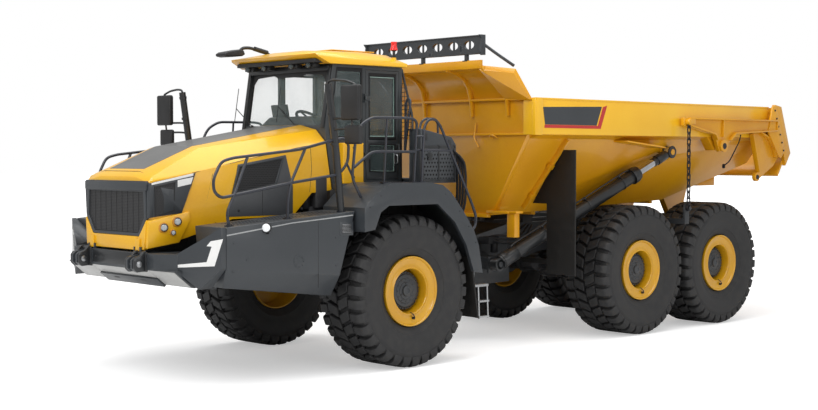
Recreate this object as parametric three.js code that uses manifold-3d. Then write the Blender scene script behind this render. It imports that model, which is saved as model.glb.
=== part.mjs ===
// Articulated dump truck, three axles, in millimetres.
// +X forward, +Y the driver's left, +Z up. Lengths along X are measured from the
// front axle while building; every piece is then shifted by axleShift so that the
// frame's origin sits on the ground at the middle of the whole machine.
import * as THREE from 'three';
import { mergeVertices } from 'three/addons/utils/BufferGeometryUtils.js';
import { ConvexGeometry } from 'three/addons/geometries/ConvexGeometry.js';
import Module from 'manifold-3d';

const wasm = await Module();
wasm.setup();

// ---- driving dimensions ----------------------------------------------------
const seatGap = 0.3;
const pinGap = 0.3;
const rodGap = 0.5;
const bendOverlap = 0.5;
const frontEnd = 3290;
const rearEnd = -8190;
const axleShift = -(frontEnd + rearEnd) / 2;

const midAxleX = -4500;
const rearAxleX = -6430;
const wheelRadius = 925;
const wheelWidth = 750;
const trackHalf = 1320;
const rimRadius = 425;
const rimInset = 65;
const discDepth = 450;
const hubFaceY = trackHalf + wheelWidth / 2 - rimInset - discDepth;
const wheelSides = 24;

const hingeX = -1350;
const hitchZ = 1040;
const rollFaceX = -2250;
const kingPinRadius = 60;
const spigotRadius = 180;

const frameHalf = 460;
const frameInner = 360;
const frameTop = 1400;
const frameLow = 1140;
const frameRearHalf = 440;
const engineLow = 1250;

const deckTop = 2220;
const deckThick = 70;
const fenderInner = 1000;
const fenderOuter = 1750;

const boxOuter = 1600;
const boxInner = 1000;
const boxFrontX = 2695;
const boxRearX = 870;
const boxFrontTop = 1790;
const boxRearTop = 1920;
const boxFrontLow = 1120;
const boxRearLow = 930;
const rightRailBack = 360;

const cabHalf = 850;
const cabRear = -560;
const cabFront = 610;
const cabFloor = deckTop + seatGap;
const cabTop = 3680;
const sillZ = 2900;
const sillX = 708;
const screenTopX = 585;
const cabWall = 60;
const pillarX = 80;
const roofHalf = 950;
const beaconX = -420;
const beaconY = 850;
const beaconFoot = 3800;
const mirrorArmX = 443;
const mirrorArmY = -570;
const mirrorArmFoot = 3878;
const doorHingeX = 65;
const doorHingeY = 872;
const doorHingeZ = [2520, 3250];
const doorPinRadius = 8;

const hoodTiltX = 3100;
const hoodTiltZ = 1525;
const hoodPinRadius = 14;
const hoodRearX = 590;
const hoodWall = 40;
const lampProud = 14;

const bedWall = 30;
const bedHalfLow = 730;
const bedHalfHigh = 1480;
const bedKneeZ = 2840;
const bedTopZ = 3320;
const bedFrontX = -2250;
const bedRearX = -7815;
const bedPivotX = -6800;
const bedPivotZ = 1560;
const bedPinRadius = 45;
const railHalf = 1650;

const gatePivotX = -6300;
const gatePivotZ = 2705;
const gateArmIn = 1690;
const gateArmOut = 1750;
const gatePinRadius = 38;

const hoistBase = [-2320, 850, 1080];
const hoistEye = [-5390, 1445, 2614];
const hoistPinRadius = 40;
const crownRadius = 60;
const hoistRodRadius = 57;
const steerPinOffset = 750;
const steerPinY = 420;
const steerPinRadius = 28;
const steerRodRadius = 28;
const chainX = -5400;
const chainY = 1785;
const chainLowZ = 1790;
const chainTopZ = 3040;
const chainPinRadius = 16;

const yellow = 0xf0b41e;
const darkGrey = 0x3c4043;
const black = 0x1a1a1a;
const glassTint = 0x5a6468;
const silver = 0xc4c6c8;
const beaconRed = 0xc01818;

// ---- solids ------------------------------------------------------------------
function toSolid(geometry) {
  geometry.deleteAttribute('normal');
  geometry.deleteAttribute('uv');
  const merged = mergeVertices(geometry, 1e-4);
  const mesh = new wasm.Mesh({
    numProp: 3,
    vertProperties: new Float32Array(merged.attributes.position.array),
    triVerts: new Uint32Array(merged.index.array),
  });
  mesh.merge();
  return new wasm.Manifold(mesh);
}

function block(x0, x1, y0, y1, z0, z1) {
  const geometry = new THREE.BoxGeometry(Math.abs(x1 - x0), Math.abs(y1 - y0), Math.abs(z1 - z0));
  geometry.translate((x0 + x1) / 2, (y0 + y1) / 2, (z0 + z1) / 2);
  return toSolid(geometry);
}

function extrude(points, depth) {
  const shape = new THREE.Shape(points.map((p) => new THREE.Vector2(p[0], p[1])));
  return new THREE.ExtrudeGeometry(shape, { depth, bevelEnabled: false });
}

// outline in X and Z, thickness from y0 to y1
function sidePlate(points, y0, y1) {
  const geometry = extrude(points, y1 - y0);
  geometry.rotateX(Math.PI / 2);
  geometry.translate(0, y1, 0);
  return toSolid(geometry);
}

// outline in X and Y, thickness from z0 to z1
function flatPlate(points, z0, z1) {
  const geometry = extrude(points, z1 - z0);
  geometry.translate(0, 0, z0);
  return toSolid(geometry);
}

// outline in Y and Z, thickness from x0 to x1
function crossPlate(points, x0, x1) {
  const geometry = extrude(points, x1 - x0);
  geometry.rotateX(Math.PI / 2);
  geometry.rotateZ(Math.PI / 2);
  geometry.translate(x0, 0, 0);
  return toSolid(geometry);
}

function convex(points) {
  return toSolid(new ConvexGeometry(points.map((p) => new THREE.Vector3(p[0], p[1], p[2]))));
}

// round bar between two points
function bar(from, to, radius, sides = 8, turnStart = 0) {
  const start = new THREE.Vector3(...from);
  const end = new THREE.Vector3(...to);
  const along = new THREE.Vector3().subVectors(end, start);
  const geometry = new THREE.CylinderGeometry(radius, radius, along.length(), sides, 1,
    false, turnStart);
  const turn = new THREE.Quaternion();
  turn.setFromUnitVectors(new THREE.Vector3(0, 1, 0), along.clone().normalize());
  geometry.applyQuaternion(turn);
  geometry.translate(...start.add(end).multiplyScalar(0.5).toArray());
  return toSolid(geometry);
}

// hole whose flats stand pinGap clear of a pin of this radius, whichever way it turns
function boreFor(from, to, pinRadius, sides) {
  const step = Math.PI / sides;
  return bar(from, to, (pinRadius + pinGap) / Math.cos(step), sides, step);
}

// short bush round a pin along Y, fattest in the middle so that an eye can rock on it
function crownAt(centre, radius, sides) {
  const ring = (r, y) => Array.from({ length: sides }, (_, i) => {
    const angle = i * 2 * Math.PI / sides;
    return [centre[0] + r * Math.sin(angle), centre[1] + y, centre[2] + r * Math.cos(angle)];
  });
  return convex([...ring(radius - 4, -20), ...ring(radius, 0), ...ring(radius - 4, 20)]);
}

// bent round tube through a list of points
function bentBar(points, radius, sides = 6) {
  const pieces = [];
  for (let i = 0; i + 1 < points.length; i += 1) {
    const start = new THREE.Vector3(...points[i]);
    const end = new THREE.Vector3(...points[i + 1]);
    const over = end.clone().sub(start).setLength(radius * bendOverlap);
    const from = i === 0 ? start : start.sub(over);
    const to = i + 2 === points.length ? end : end.add(over);
    pieces.push(bar(from.toArray(), to.toArray(), radius, sides));
  }
  return join(...pieces);
}

// closed ring outline [radius, y] turned about a line along Y
function turned(profile, x, y, z, sides = wheelSides) {
  const points = profile.map((p) => new THREE.Vector2(p[0], p[1]));
  points.push(points[0].clone());
  const geometry = new THREE.LatheGeometry(points, sides);
  geometry.translate(x, y, z);
  return toSolid(geometry);
}

function join(...solids) {
  return solids.reduce((sum, solid) => sum.add(solid));
}

function mirrored(solid) {
  return solid.mirror([0, 1, 0]);
}

function bothSides(solid) {
  return solid.add(mirrored(solid));
}

const group = new THREE.Group();

function addPiece(name, solid, color) {
  const mesh = solid.translate([axleShift, 0, 0]).getMesh();
  const geometry = new THREE.BufferGeometry();
  geometry.setAttribute('position', new THREE.BufferAttribute(mesh.vertProperties, 3));
  geometry.setIndex(new THREE.BufferAttribute(mesh.triVerts, 1));
  geometry.computeVertexNormals();
  const piece = new THREE.Mesh(geometry, new THREE.MeshStandardMaterial({ color }));
  piece.name = name;
  group.add(piece);
}

// ---- front unit ---------------------------------------------------------------
function frontFrame() {
  const rail = sidePlate([
    [2640, frameLow + 60], [2640, frameTop - 60], [2100, frameTop], [-860, frameTop],
    [-860, frameLow], [2300, frameLow],
  ], frameInner, frameHalf);
  const cross = [2540, 400, -820].map((x) => block(x, x + 80, -frameInner - 5, frameInner + 5,
    frameLow + 20, frameTop - 20));
  const engineRests = [1200, 2200].map((x) => block(x, x + 100, -frameInner - 5, frameInner + 5,
    frameLow + 10, engineLow - seatGap));
  const neck = block(-880, -640, -270, 270, 640, frameTop);
  const shape = [
    [-640, -270], [-640, 270], [-1100, 250], [hingeX, 190], [hingeX - 150, 120],
    [hingeX - 150, -120], [hingeX, -190], [-1100, -250],
  ].reverse();
  const upper = flatPlate(shape, 1390, 1450);
  const lower = flatPlate(shape, 640, 700);
  const upperPin = bar([hingeX, 0, 1260], [hingeX, 0, 1480], kingPinRadius, 16);
  const lowerPin = bar([hingeX, 0, 610], [hingeX, 0, 820], kingPinRadius, 16);
  const pinX = hingeX + steerPinOffset;
  const lug = block(pinX - 60, pinX + 120, 260, 480, 0, 30);
  const steerPin = bar([pinX, steerPinY, hitchZ - 100], [pinX, steerPinY, hitchZ + 100], steerPinRadius, 12);
  const lugs = join(lug.translate([0, 0, hitchZ + 65]), lug.translate([0, 0, hitchZ - 95]), steerPin);
  const relief = block(-890, -630, 225, 300, hitchZ - 62, hitchZ + 62);
  const tailRails = block(-880, -800, 250, frameInner + 5, frameLow + 20, frameTop - 20);
  const outriggers = [2250, 1260].map((x) => block(x, x + 90, frameHalf - 5, boxInner - seatGap, 1210, 1340));
  const noseArm = block(2600, 2700 - seatGap, frameInner, frameHalf, 1310, 1380);
  return join(rail, mirrored(rail), ...cross, ...engineRests, neck, upper, lower, upperPin, lowerPin,
    bothSides(join(lugs, tailRails, noseArm, ...outriggers))).subtract(bothSides(relief));
}

function frontAxle() {
  const tube = bar([0, -940, wheelRadius], [0, 940, wheelRadius], 130, 12);
  const housing = bar([0, -230, wheelRadius], [0, 230, wheelRadius], 205, 12);
  const nose = bar([-420, 0, wheelRadius], [0, 0, wheelRadius], 120, 12);
  const stack = block(-110, 110, frameInner + 5, frameHalf - 5, wheelRadius, frameLow - seatGap);
  const hub = bar([0, 930, wheelRadius], [0, hubFaceY - seatGap, wheelRadius], 190, 16);
  return join(tube, housing, nose, bothSides(join(stack, hub)));
}

function engineBlock() {
  const core = block(1050, 2350, -350, 350, engineLow, 2150);
  return core.add(block(540, 1060, -250, 250, 1200, 1700));
}

function bumper() {
  const middle = flatPlate([[3137, -860], [3137, 860], [2990, 1100], [2700, 1100], [2700, -1100],
    [2990, -1100]], 1305, 1489);
  const corner = convex([
    [2990, 1080, 1305], [2990, 1080, 1489], [2760, 1600, 1345], [2760, 1600, 1790],
    [2700, 1600, 1345], [2700, 1600, 1790], [2700, 1080, 1305], [2700, 1080, 1560],
  ]);
  const wing = convex([
    [2990, 1080, 1306], [2760, 1600, 1346], [2870, 1330, 1115], [2700, 1080, 1306],
    [2700, 1600, 1346], [2700, 1330, 1115],
  ]);
  const skidSlope = sidePlate([[3060, 1310], [2820, 1115], [2790, 1111], [2790, 1148], [2805, 1150],
    [2990, 1310]], -1150, 1150);
  const skid = sidePlate([[2820, 1115], [2400, 1060], [2400, 1090], [2805, 1150]], -boxInner + 10,
    boxInner - 10);
  const lugPlate = sidePlate([[3130, 1305], [3250, 1290], [3290, 1330], [3290, 1420], [3250, 1450],
    [3130, 1480]], 0, 30);
  const lugs = [540, 630].map((y) => lugPlate.translate([0, y, 0]));
  const towPin = bar([3230, 520, 1370], [3230, 680, 1370], 22, 8);
  const hoodLugs = [425, 546].map((y) => block(hoodTiltX - 25, hoodTiltX + 25, y, y + 19, 1480,
    hoodTiltZ + 25));
  const hoodPin = bar([hoodTiltX, 425, hoodTiltZ], [hoodTiltX, 565, hoodTiltZ], hoodPinRadius, 12);
  return join(middle, skidSlope, skid, bothSides(join(corner, wing, ...lugs, towPin, ...hoodLugs, hoodPin)));
}

function sideBoxes() {
  const box = convex([
    [boxFrontX, boxOuter, boxFrontTop], [boxFrontX, boxInner, boxFrontTop],
    [boxFrontX, boxOuter, 1343], [2620, 1430, boxFrontLow],
    [2620, boxInner, boxFrontLow], [boxRearX, boxOuter, boxRearTop],
    [boxRearX, boxInner, boxRearTop], [1100, boxOuter, 1184],
    [1100, 1430, boxRearLow], [1100, boxInner, boxRearLow],
  ]);
  const tie = block(1700, 1800, -boxInner - 5, boxInner + 5, 1060, frameLow - seatGap);
  return join(bothSides(box), tie);
}

function fenderDeck() {
  const outer = [
    [-1110, 1090], [-1040, 1440], [-952, 1636], [-757, 1891], [-560, 2110], [-411, 2206],
    [-200, 2240], [400, 2240], [541, 2196], [698, 2093], [852, 1960], [852, 1678],
  ];
  const lipInner = [
    [690, 1700], [600, 1900], [470, 1975], [-326, 1976], [-618, 1750], [-823, 1454], [-953, 1114],
  ];
  const skinInner = [
    [812, 1700], [812, 1940], [670, 2060], [525, 2150], [395, 2200], [-195, 2200], [-395, 2166],
    [-530, 2080], [-722, 1870], [-915, 1620], [-1000, 1430], [-1070, 1095],
  ];
  const skin = sidePlate([...outer, ...skinInner], fenderInner - 10, fenderOuter - 20);
  const lip = sidePlate([...outer, ...lipInner], fenderOuter - 50, fenderOuter);
  const deck = block(-700, 588, -fenderInner, fenderInner, deckTop - deckThick, deckTop);
  const leg = block(480, 575, frameInner, frameHalf, frameTop + seatGap, deckTop - 5);
  const rearLeg = block(-600, -500, frameInner, frameHalf, frameTop + seatGap, deckTop - 5);
  return join(deck, bothSides(join(skin, lip, leg, rearLeg)));
}

function frontMudFlap() {
  const flap = sidePlate([[-1105, 520], [-1080, 520], [-955, 1300], [-980, 1300]], fenderInner, 1690);
  const hanger = block(-1000, -950, 300, fenderInner + 5, frameTop + seatGap, 1425);
  const drop = block(-1000, -950, fenderInner - 40, fenderInner + 5, 1240, 1425);
  const foot = block(-1000, -880 - seatGap, 300, 340, 1200, 1425);
  return join(flap, hanger, drop, foot);
}

// height of the side box's sloping top
function boxTopAt(x) {
  return boxRearTop + ((boxFrontTop - boxRearTop) * (x - boxRearX)) / (boxFrontX - boxRearX);
}

// back moves the front loop of the rail rearwards
function deckRails(back) {
  const tube = 17;
  const thin = 14;
  const foot = deckTop + 22;
  const stand = (x) => boxTopAt(x) + 3;
  const lead = (x, z) => [x - back, 1500, z + back * 0.1];
  const frontLoop = bentBar([[1045, 1500, 2345], [1750, 1500, 2257], lead(2690, 2109),
    lead(2781, 2175), lead(2793, 2304), lead(2690, 2500), lead(2543, 2540),
    [1605, 1500, 2635], [1090, 1500, 2751], [945, 1500, 2770], [885, 1500, 2700],
    [894, 1500, 2490], [1001, 1500, 2375], [1090, 1500, 2335]], tube);
  const frontLeg = bentBar([lead(2336, 2554), lead(2506, 2159), lead(2617, 1945),
    [2588 - back, 1500, stand(2588 - back)]], tube);
  const middleLeg = bentBar([[1533, 1500, 2640], [1738, 1500, 2257], [1779, 1500, 2067],
    [1787, 1500, stand(1787)]], tube);
  const side = bentBar([[745, 1560, 2075], [884, 1560, 2304], [822, 1560, 2805], [740, 1560, 2930],
    [578, 1560, 3014], [-5, 1560, 3018], [-110, 1560, 3005], [-154, 1560, 2960],
    [-105, 1560, foot]], tube);
  const sideMid = bentBar([[-125, 1560, 2612], [578, 1560, 2611], [850, 1560, 2430]], tube);
  const sidePost = bar([336, 1560, 3012], [384, 1560, foot], thin, 6);
  const tie = bar([880, 1560, 2330], [912, 1500, 2470], thin, 6);
  const rear = bentBar([[-195, 1600, foot], [-234, 1600, 2900], [-301, 1600, 3005],
    [-419, 1600, 3013], [-505, 1600, 2940], [-1032, 1620, 1984], [-1104, 1640, 1793],
    [-1085, 1640, 1660], [-985, 1640, 1605]], tube);
  const rearMid = bar([-125, 1560, 2632], [-676, 1607, 2628], thin, 6);
  const post = bentBar([[1002, 1500, stand(1002)], [1076, 1500, 2630], [1193, 1500, 3410],
    [1193, 1560, 3440], [1180, 1780, 3400]], 22);
  const arms = [2985, 2860].map((z) => bar([1076 + (z - 2630) * 0.15, 1500, z],
    [1080 + (z - 2630) * 0.2, 1790, z], thin, 6));
  const bigMirror = block(1150, 1230, 1750, 2075, 2960, 3370);
  const smallMirror = block(1125, 1190, 1770, 2060, 2690, 2915);
  const mirrorTie = block(1160, 1186, 1900, 1930, 2900, 2970);
  const hanger = block(1165, 1200, 1755, 1800, 3360, 3405);
  return join(frontLoop, frontLeg, middleLeg, side, sideMid, sidePost, tie, rear, rearMid, post, ...arms,
    bigMirror, smallMirror, mirrorTie, hanger);
}

// outline of the cab seen from the side, each wall moved in by inset
function cabOutline(inset, topInset) {
  return [
    [cabRear + inset, cabFloor + inset], [cabFront - 12 - inset, cabFloor + inset],
    [sillX - inset, sillZ], [screenX(cabTop - topInset) - inset, cabTop - topInset],
    [cabRear + inset, cabTop - topInset],
  ];
}

// face of the leaning windscreen at height z
function screenX(z) {
  return sillX + ((screenTopX - sillX) * (z - sillZ)) / (cabTop - sillZ);
}

function cabShell() {
  const outside = sidePlate(cabOutline(0, 0), -cabHalf, cabHalf);
  const inside = sidePlate(cabOutline(cabWall, 50), -cabHalf + cabWall, cabHalf - cabWall);
  const windscreen = block(cabFront - 200, sillX + 10, -cabHalf + 75, cabHalf - 75, sillZ + 40, cabTop - 70);
  const rearPane = block(cabRear - 10, cabRear + 200, -cabHalf + 140, cabHalf - 140, 2800, cabTop - 120);
  const paneTop = cabTop - 70;
  const frontPane = sidePlate([[pillarX + 40, 2790], [sillX - 105, 2790], [sillX - 75, sillZ],
    [screenX(paneTop) - 75, paneTop], [pillarX + 40, paneTop]], -cabHalf - 10, cabHalf + 10);
  const rightPane = block(cabRear + 90, pillarX - 40, -cabHalf - 10, -cabHalf + 200, 2560, paneTop);
  const doorway = block(cabRear + 55, pillarX - 25, cabHalf - 200, cabHalf + 10, cabFloor + 40, cabTop - 50);
  const cuts = join(inside, windscreen, rearPane, frontPane, rightPane, doorway);
  const hinges = doorHingeZ.flatMap((z) => [
    bar([doorHingeX, doorHingeY, z - 30], [doorHingeX, doorHingeY, z + 80], doorPinRadius, 12),
    block(doorHingeX - 7, doorHingeX + 25, cabHalf - 10, doorHingeY + 8, z - 30, z - 6),
    block(doorHingeX - 7, doorHingeX + 25, cabHalf - 10, doorHingeY + 8, z + 56, z + 80),
  ]);
  return outside.subtract(cuts).add(join(...hinges));
}

function doorPanel() {
  const frame = block(cabRear + 60, pillarX - 30, cabHalf - 45, cabHalf, cabFloor + 45, cabTop - 55);
  const pane = block(cabRear + 120, pillarX - 90, cabHalf - 60, cabHalf + 10, 2790, cabTop - 120);
  const lowPane = block(cabRear + 120, pillarX - 90, cabHalf - 60, cabHalf + 10, 2360, 2700);
  const handle = bentBar([[cabRear + 90, cabHalf - 5, 2560], [cabRear + 90, cabHalf + 40, 2560],
    [cabRear + 90, cabHalf + 40, 2700], [cabRear + 90, cabHalf - 5, 2700]], 10);
  const knuckles = doorHingeZ.map((z) => join(
    bar([doorHingeX, doorHingeY, z], [doorHingeX, doorHingeY, z + 50], 17, 12),
    block(doorHingeX - 30, doorHingeX - 16, cabHalf - 20, doorHingeY, z, z + 50),
    block(doorHingeX - 30, doorHingeX - 8, cabHalf + 1, doorHingeY, z, z + 50),
  ));
  const pinHole = boreFor([doorHingeX, doorHingeY, cabFloor], [doorHingeX, doorHingeY, cabTop],
    doorPinRadius, 12);
  return frame.subtract(pane).subtract(lowPane).add(join(handle, ...knuckles)).subtract(pinHole);
}

function doorGlass() {
  const upper = block(cabRear + 120 + seatGap, pillarX - 90 - seatGap, cabHalf - 30, cabHalf - 22,
    2790 + seatGap, cabTop - 120 - seatGap);
  const strip = block(cabRear + 200, cabRear + 260, cabHalf - 53, cabHalf - 45 - seatGap, 2500, 2900);
  const link = block(cabRear + 200, cabRear + 260, cabHalf - 53, cabHalf - 22, 2800, 2850);
  const lower = block(cabRear + 120 + seatGap, pillarX - 90 - seatGap, cabHalf - 30, cabHalf - 22,
    2360 + seatGap, 2700 - seatGap);
  const lowLink = block(cabRear + 200, cabRear + 260, cabHalf - 53, cabHalf - 22, 2550, 2600);
  return join(upper, strip, link, lower, lowLink);
}

function cabRoof() {
  const low = cabTop + seatGap;
  const corners = [
    [840, roofHalf - 70, 3765], [865, roofHalf - 90, 3795], [667, roofHalf - 50, low],
    [cabRear, roofHalf, low], [cabRear, roofHalf, low + 40], [-500, roofHalf - 50, 3750],
    [600, 720, 3842], [0, 720, 3852], [-400, 720, 3835], [600, 300, 3868], [0, 300, 3892],
    [-400, 300, 3870],
  ];
  const slab = convex(corners.flatMap(([x, y, z]) => [[x, y, z], [x, -y, z]]));
  const beaconRest = bar([beaconX, beaconY, 3700], [beaconX, beaconY, beaconFoot], 30, 12);
  const armRest = block(mirrorArmX - 30, mirrorArmX + 30, mirrorArmY - 30, mirrorArmY + 30, 3750, mirrorArmFoot);
  return join(slab, beaconRest, armRest);
}

// looking-down mirror on an arm over the front edge of the roof
function roofMirror() {
  const foot = block(mirrorArmX - 25, mirrorArmX + 25, mirrorArmY - 25, mirrorArmY + 25,
    mirrorArmFoot + seatGap, mirrorArmFoot + 24);
  const arm = bentBar([[mirrorArmX, mirrorArmY, mirrorArmFoot + 18], [mirrorArmX + 60, mirrorArmY, 3940],
    [760, mirrorArmY - 20, 3972], [1000, mirrorArmY - 50, 3905], [1060, mirrorArmY - 60, 3862]], 13, 8);
  const head = convex([
    [900, -520, 3838], [900, -740, 3838], [905, -535, 3866], [905, -725, 3866],
    [1225, -520, 3812], [1225, -740, 3812], [1220, -535, 3842], [1220, -725, 3842],
  ]);
  return join(foot, arm, head);
}

function sideCabinet() {
  return block(170, 500, cabHalf + seatGap, 950, deckTop + seatGap, 2720);
}

function cabGlass() {
  const pane = 8;
  const inner = cabWall + seatGap;
  const low = 2760;
  const high = cabTop - 60;
  const front = sidePlate([[sillX - inner - pane, sillZ], [sillX - inner, sillZ],
    [screenX(high) - inner, high], [screenX(high) - inner - pane, high]], -cabHalf + inner, cabHalf - inner);
  const outline = (rear) => [[rear, low], [sillX - inner - 50, low], [sillX - inner, sillZ],
    [screenX(high) - inner, high], [rear, high]];
  const side = sidePlate(outline(pillarX + 10), cabHalf - inner - pane, cabHalf - inner);
  const right = sidePlate(outline(cabRear + inner), -cabHalf + inner, -cabHalf + inner + pane);
  const rightLow = block(cabRear + inner, pillarX, -cabHalf + inner, -cabHalf + inner + pane, 2500, low + 5);
  const rear = block(cabRear + inner, cabRear + inner + pane, -cabHalf + inner, cabHalf - inner - 60, low, high);
  return join(front, side, right, rightLow, rear);
}

function operatorSeat() {
  const floor = cabFloor + cabWall + seatGap;
  const column = block(-300, 20, -180, 180, floor, floor + 260);
  const cushion = block(-380, 120, -260, 260, floor + 250, floor + 380);
  const back = block(-440, -330, -250, 250, floor + 330, floor + 1020);
  const rests = bothSides(block(-330, 60, 265, 330, floor + 500, floor + 560));
  const restPosts = bothSides(block(-380, -300, 240, 330, floor + 350, floor + 560));
  return join(column, cushion, back, rests, restPosts);
}

function dashboard() {
  const floor = cabFloor + cabWall + seatGap;
  const front = cabFront - cabWall - 20;
  const half = cabHalf - cabWall - 90;
  const console = convex([
    [front, -half, floor], [front, half, floor], [front - 130, -half, floor], [front - 130, half, floor],
    [front, -half, 2930], [front, half, 2930], [front - 200, -500, 2860], [front - 200, 500, 2860],
  ]);
  const column = bar([400, 0, 2780], [250, 0, 3010], 30, 8);
  const wheel = turned([[190, -14], [215, -14], [215, 14], [190, 14]], 0, 0, 0, 20);
  const spokes = join(bar([-200, 0, 0], [200, 0, 0], 12, 6), bar([0, 0, 0], [0, 0, -200], 12, 6));
  const tilt = join(wheel, spokes).rotate([90, 0, 0]).rotate([0, -33, 0]);
  return join(console, column, tilt.translate([245, 0, 3015]));
}

function coolerBoxes() {
  const low = deckTop + seatGap;
  const box = convex([
    [-540, 1000, low], [-420, 1240, low], [-420, 1350, low], [-1040, 1000, low], [-1040, 1350, low],
    [-540, 1000, 2900], [-420, 1240, 2900], [-420, 1350, 2900], [-960, 1000, 2800], [-960, 1350, 2800],
    [-1040, 1000, 2700], [-1040, 1350, 2700],
  ]);
  const shelf = block(-690, -600, -1005, 1005, low, low + 60);
  return join(bothSides(box), shelf);
}

function stepLadder() {
  const top = block(-1350, -1085, 1540, 1620, 900, 930);
  const hanger = bar([-1090, 1600, 905], [-1090, 1600, 1090.2], 16, 8);
  const stiles = [-1340, -1180].map((x) => bar([x, 1600, 910], [x - 20, 1600, 490], 14, 6));
  const rungs = [500, 700].map((z) => block(-1365, -1185, 1540, 1620, z, z + 24));
  return join(top, hanger, ...stiles, ...rungs);
}

function beacon() {
  const stalk = bar([beaconX, beaconY, beaconFoot + seatGap], [beaconX, beaconY, beaconFoot + 95], 16, 12);
  const lens = turned([[0.001, 0], [46, 0], [46, 20], [40, 95], [28, 108], [0.001, 108]], 0, 0, 0, 12);
  return stalk.add(lens.rotate([90, 0, 0]).translate([beaconX, beaconY, beaconFoot + 90]));
}

// ---- hood ----------------------------------------------------------------------
function hoodSection(x, grow, low) {
  const table = {
    3075: [[590, 1545], [640, 2200], [655, 2270], [380, 2330]],
    3030: [[640, 1545], [690, 2290], [661, 2330], [385, 2380]],
    2320: [[770, 1600], [780, 2420], [520, 2650], [400, 2672]],
    [hoodRearX]: [[840, 1800], [845, 2750], [700, 2900], [400, 2965]],
  };
  return table[x].flatMap(([y, z], i) => {
    const height = i === 0 ? low : z - grow;
    return [[x, y - grow, height], [x, -y + grow, height]];
  });
}

function hoodCover() {
  const outer = convex([3075, 3030, 2320, hoodRearX].flatMap((x) => hoodSection(x, 0, 1545)));
  const inner = convex([3030, 2320, hoodRearX].flatMap((x) => hoodSection(x, hoodWall, 1400)))
    .translate([-10, 0, 0]);
  const rearCut = sidePlate([[500, 1400], [600, 1400], [600, 2156], [745, 3050], [500, 3050]], -900, 900);
  const front = convex([3030, 2320, hoodRearX].flatMap((x) => hoodSection(x, hoodWall, 1400)));
  const skirt = sidePlate([
    [3200, 1500], [3200, 1545], [2760, 1600], [2460, 1690], [2030, 1835], [1180, 1845],
    [900, 2115], [560, 2150], [500, 2150], [500, 1400], [3200, 1400],
  ].reverse(), -1000, 1000);
  const grilleHole = block(2900, 3200, -585, 585, 1720, 2170);
  const hinge = block(3040, hoodTiltX + 18, 450, 540, hoodTiltZ - 20, 1640);
  const pinHole = boreFor([hoodTiltX, 400, hoodTiltZ], [hoodTiltX, 600, hoodTiltZ], hoodPinRadius, 12);
  const shell = outer.subtract(inner).subtract(front).subtract(rearCut).subtract(skirt).subtract(grilleHole);
  return join(shell, bothSides(hinge.subtract(pinHole)));
}

// thin lamp cover lying on the front corner of the hood
function headlamp() {
  const skin = (grow) => convex([3075, 3030, 2320, hoodRearX].flatMap((x) => hoodSection(x, grow, 1545)));
  const outline = sidePlate([[3050, 1880], [3035, 2270], [2520, 2370], [2690, 1920]].reverse(), 500, 900);
  return skin(-lampProud).subtract(skin(-seatGap)).intersect(outline);
}

function hoodGrille() {
  const panel = block(3030, 3068, -585 + seatGap, 585 - seatGap, 1720 + seatGap, 2170 - seatGap);
  return panel;
}

// ---- wheels ----------------------------------------------------------------------
function tyre(x, side) {
  const half = wheelWidth / 2;
  const profile = [
    [rimRadius + seatGap, -half + 70], [560, -half], [760, -half + 5], [870, -half + 35],
    [wheelRadius, -half + 90], [wheelRadius, half - 90], [870, half - 35], [760, half - 5],
    [560, half], [rimRadius + seatGap, half - 70],
  ];
  return turned(profile, x, side * trackHalf, wheelRadius);
}

function rim(x, side) {
  const half = wheelWidth / 2 - rimInset;
  const outer = [
    [rimRadius, -half], [rimRadius, half], [390, half + 5], [375, half - 90], [330, half - 110],
    [310, half - 330], [120, half - 330], [0.001, half - 300], [0.001, half - discDepth],
    [190, half - discDepth], [350, half - 430], [390, -half],
  ];
  const profile = side > 0 ? outer : outer.map(([r, y]) => [r, -y]).reverse();
  return turned(profile, x, side * trackHalf, wheelRadius);
}

// ---- hitch and rear frame ------------------------------------------------------------
function hitchCasting() {
  const body = convex([
    [hingeX - 560, -270, 760], [hingeX - 560, 270, 760], [hingeX - 560, -270, 1330],
    [hingeX - 560, 270, 1330], [rollFaceX, -300, 740], [rollFaceX, 300, 740],
    [rollFaceX, -300, 1340], [rollFaceX, 300, 1340],
  ]);
  const shape = [[hingeX - 570, -220], [hingeX - 570, 220], [hingeX, 150], [hingeX + 120, 70],
    [hingeX + 120, -70], [hingeX, -150]].reverse();
  const bore = boreFor([hingeX, 0, 500], [hingeX, 0, 1700], kingPinRadius, 16);
  const upper = flatPlate(shape, 1280, 1380);
  const lower = flatPlate(shape, 710, 800);
  const spigot = bar([rollFaceX - 250, 0, hitchZ], [rollFaceX + 5, 0, hitchZ], spigotRadius, 20);
  const pinX = hingeX - steerPinOffset;
  const lug = block(pinX - 60, pinX + 60, 250, 490, 0, 30);
  const lugs = join(lug.translate([0, 0, hitchZ + 65]), lug.translate([0, 0, hitchZ - 95]));
  const notch = block(pinX - 250, pinX + 250, 262, 600, hitchZ - 64, hitchZ + 64);
  return join(body, upper, lower, spigot, bothSides(lugs)).subtract(bore).subtract(bothSides(notch));
}

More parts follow.
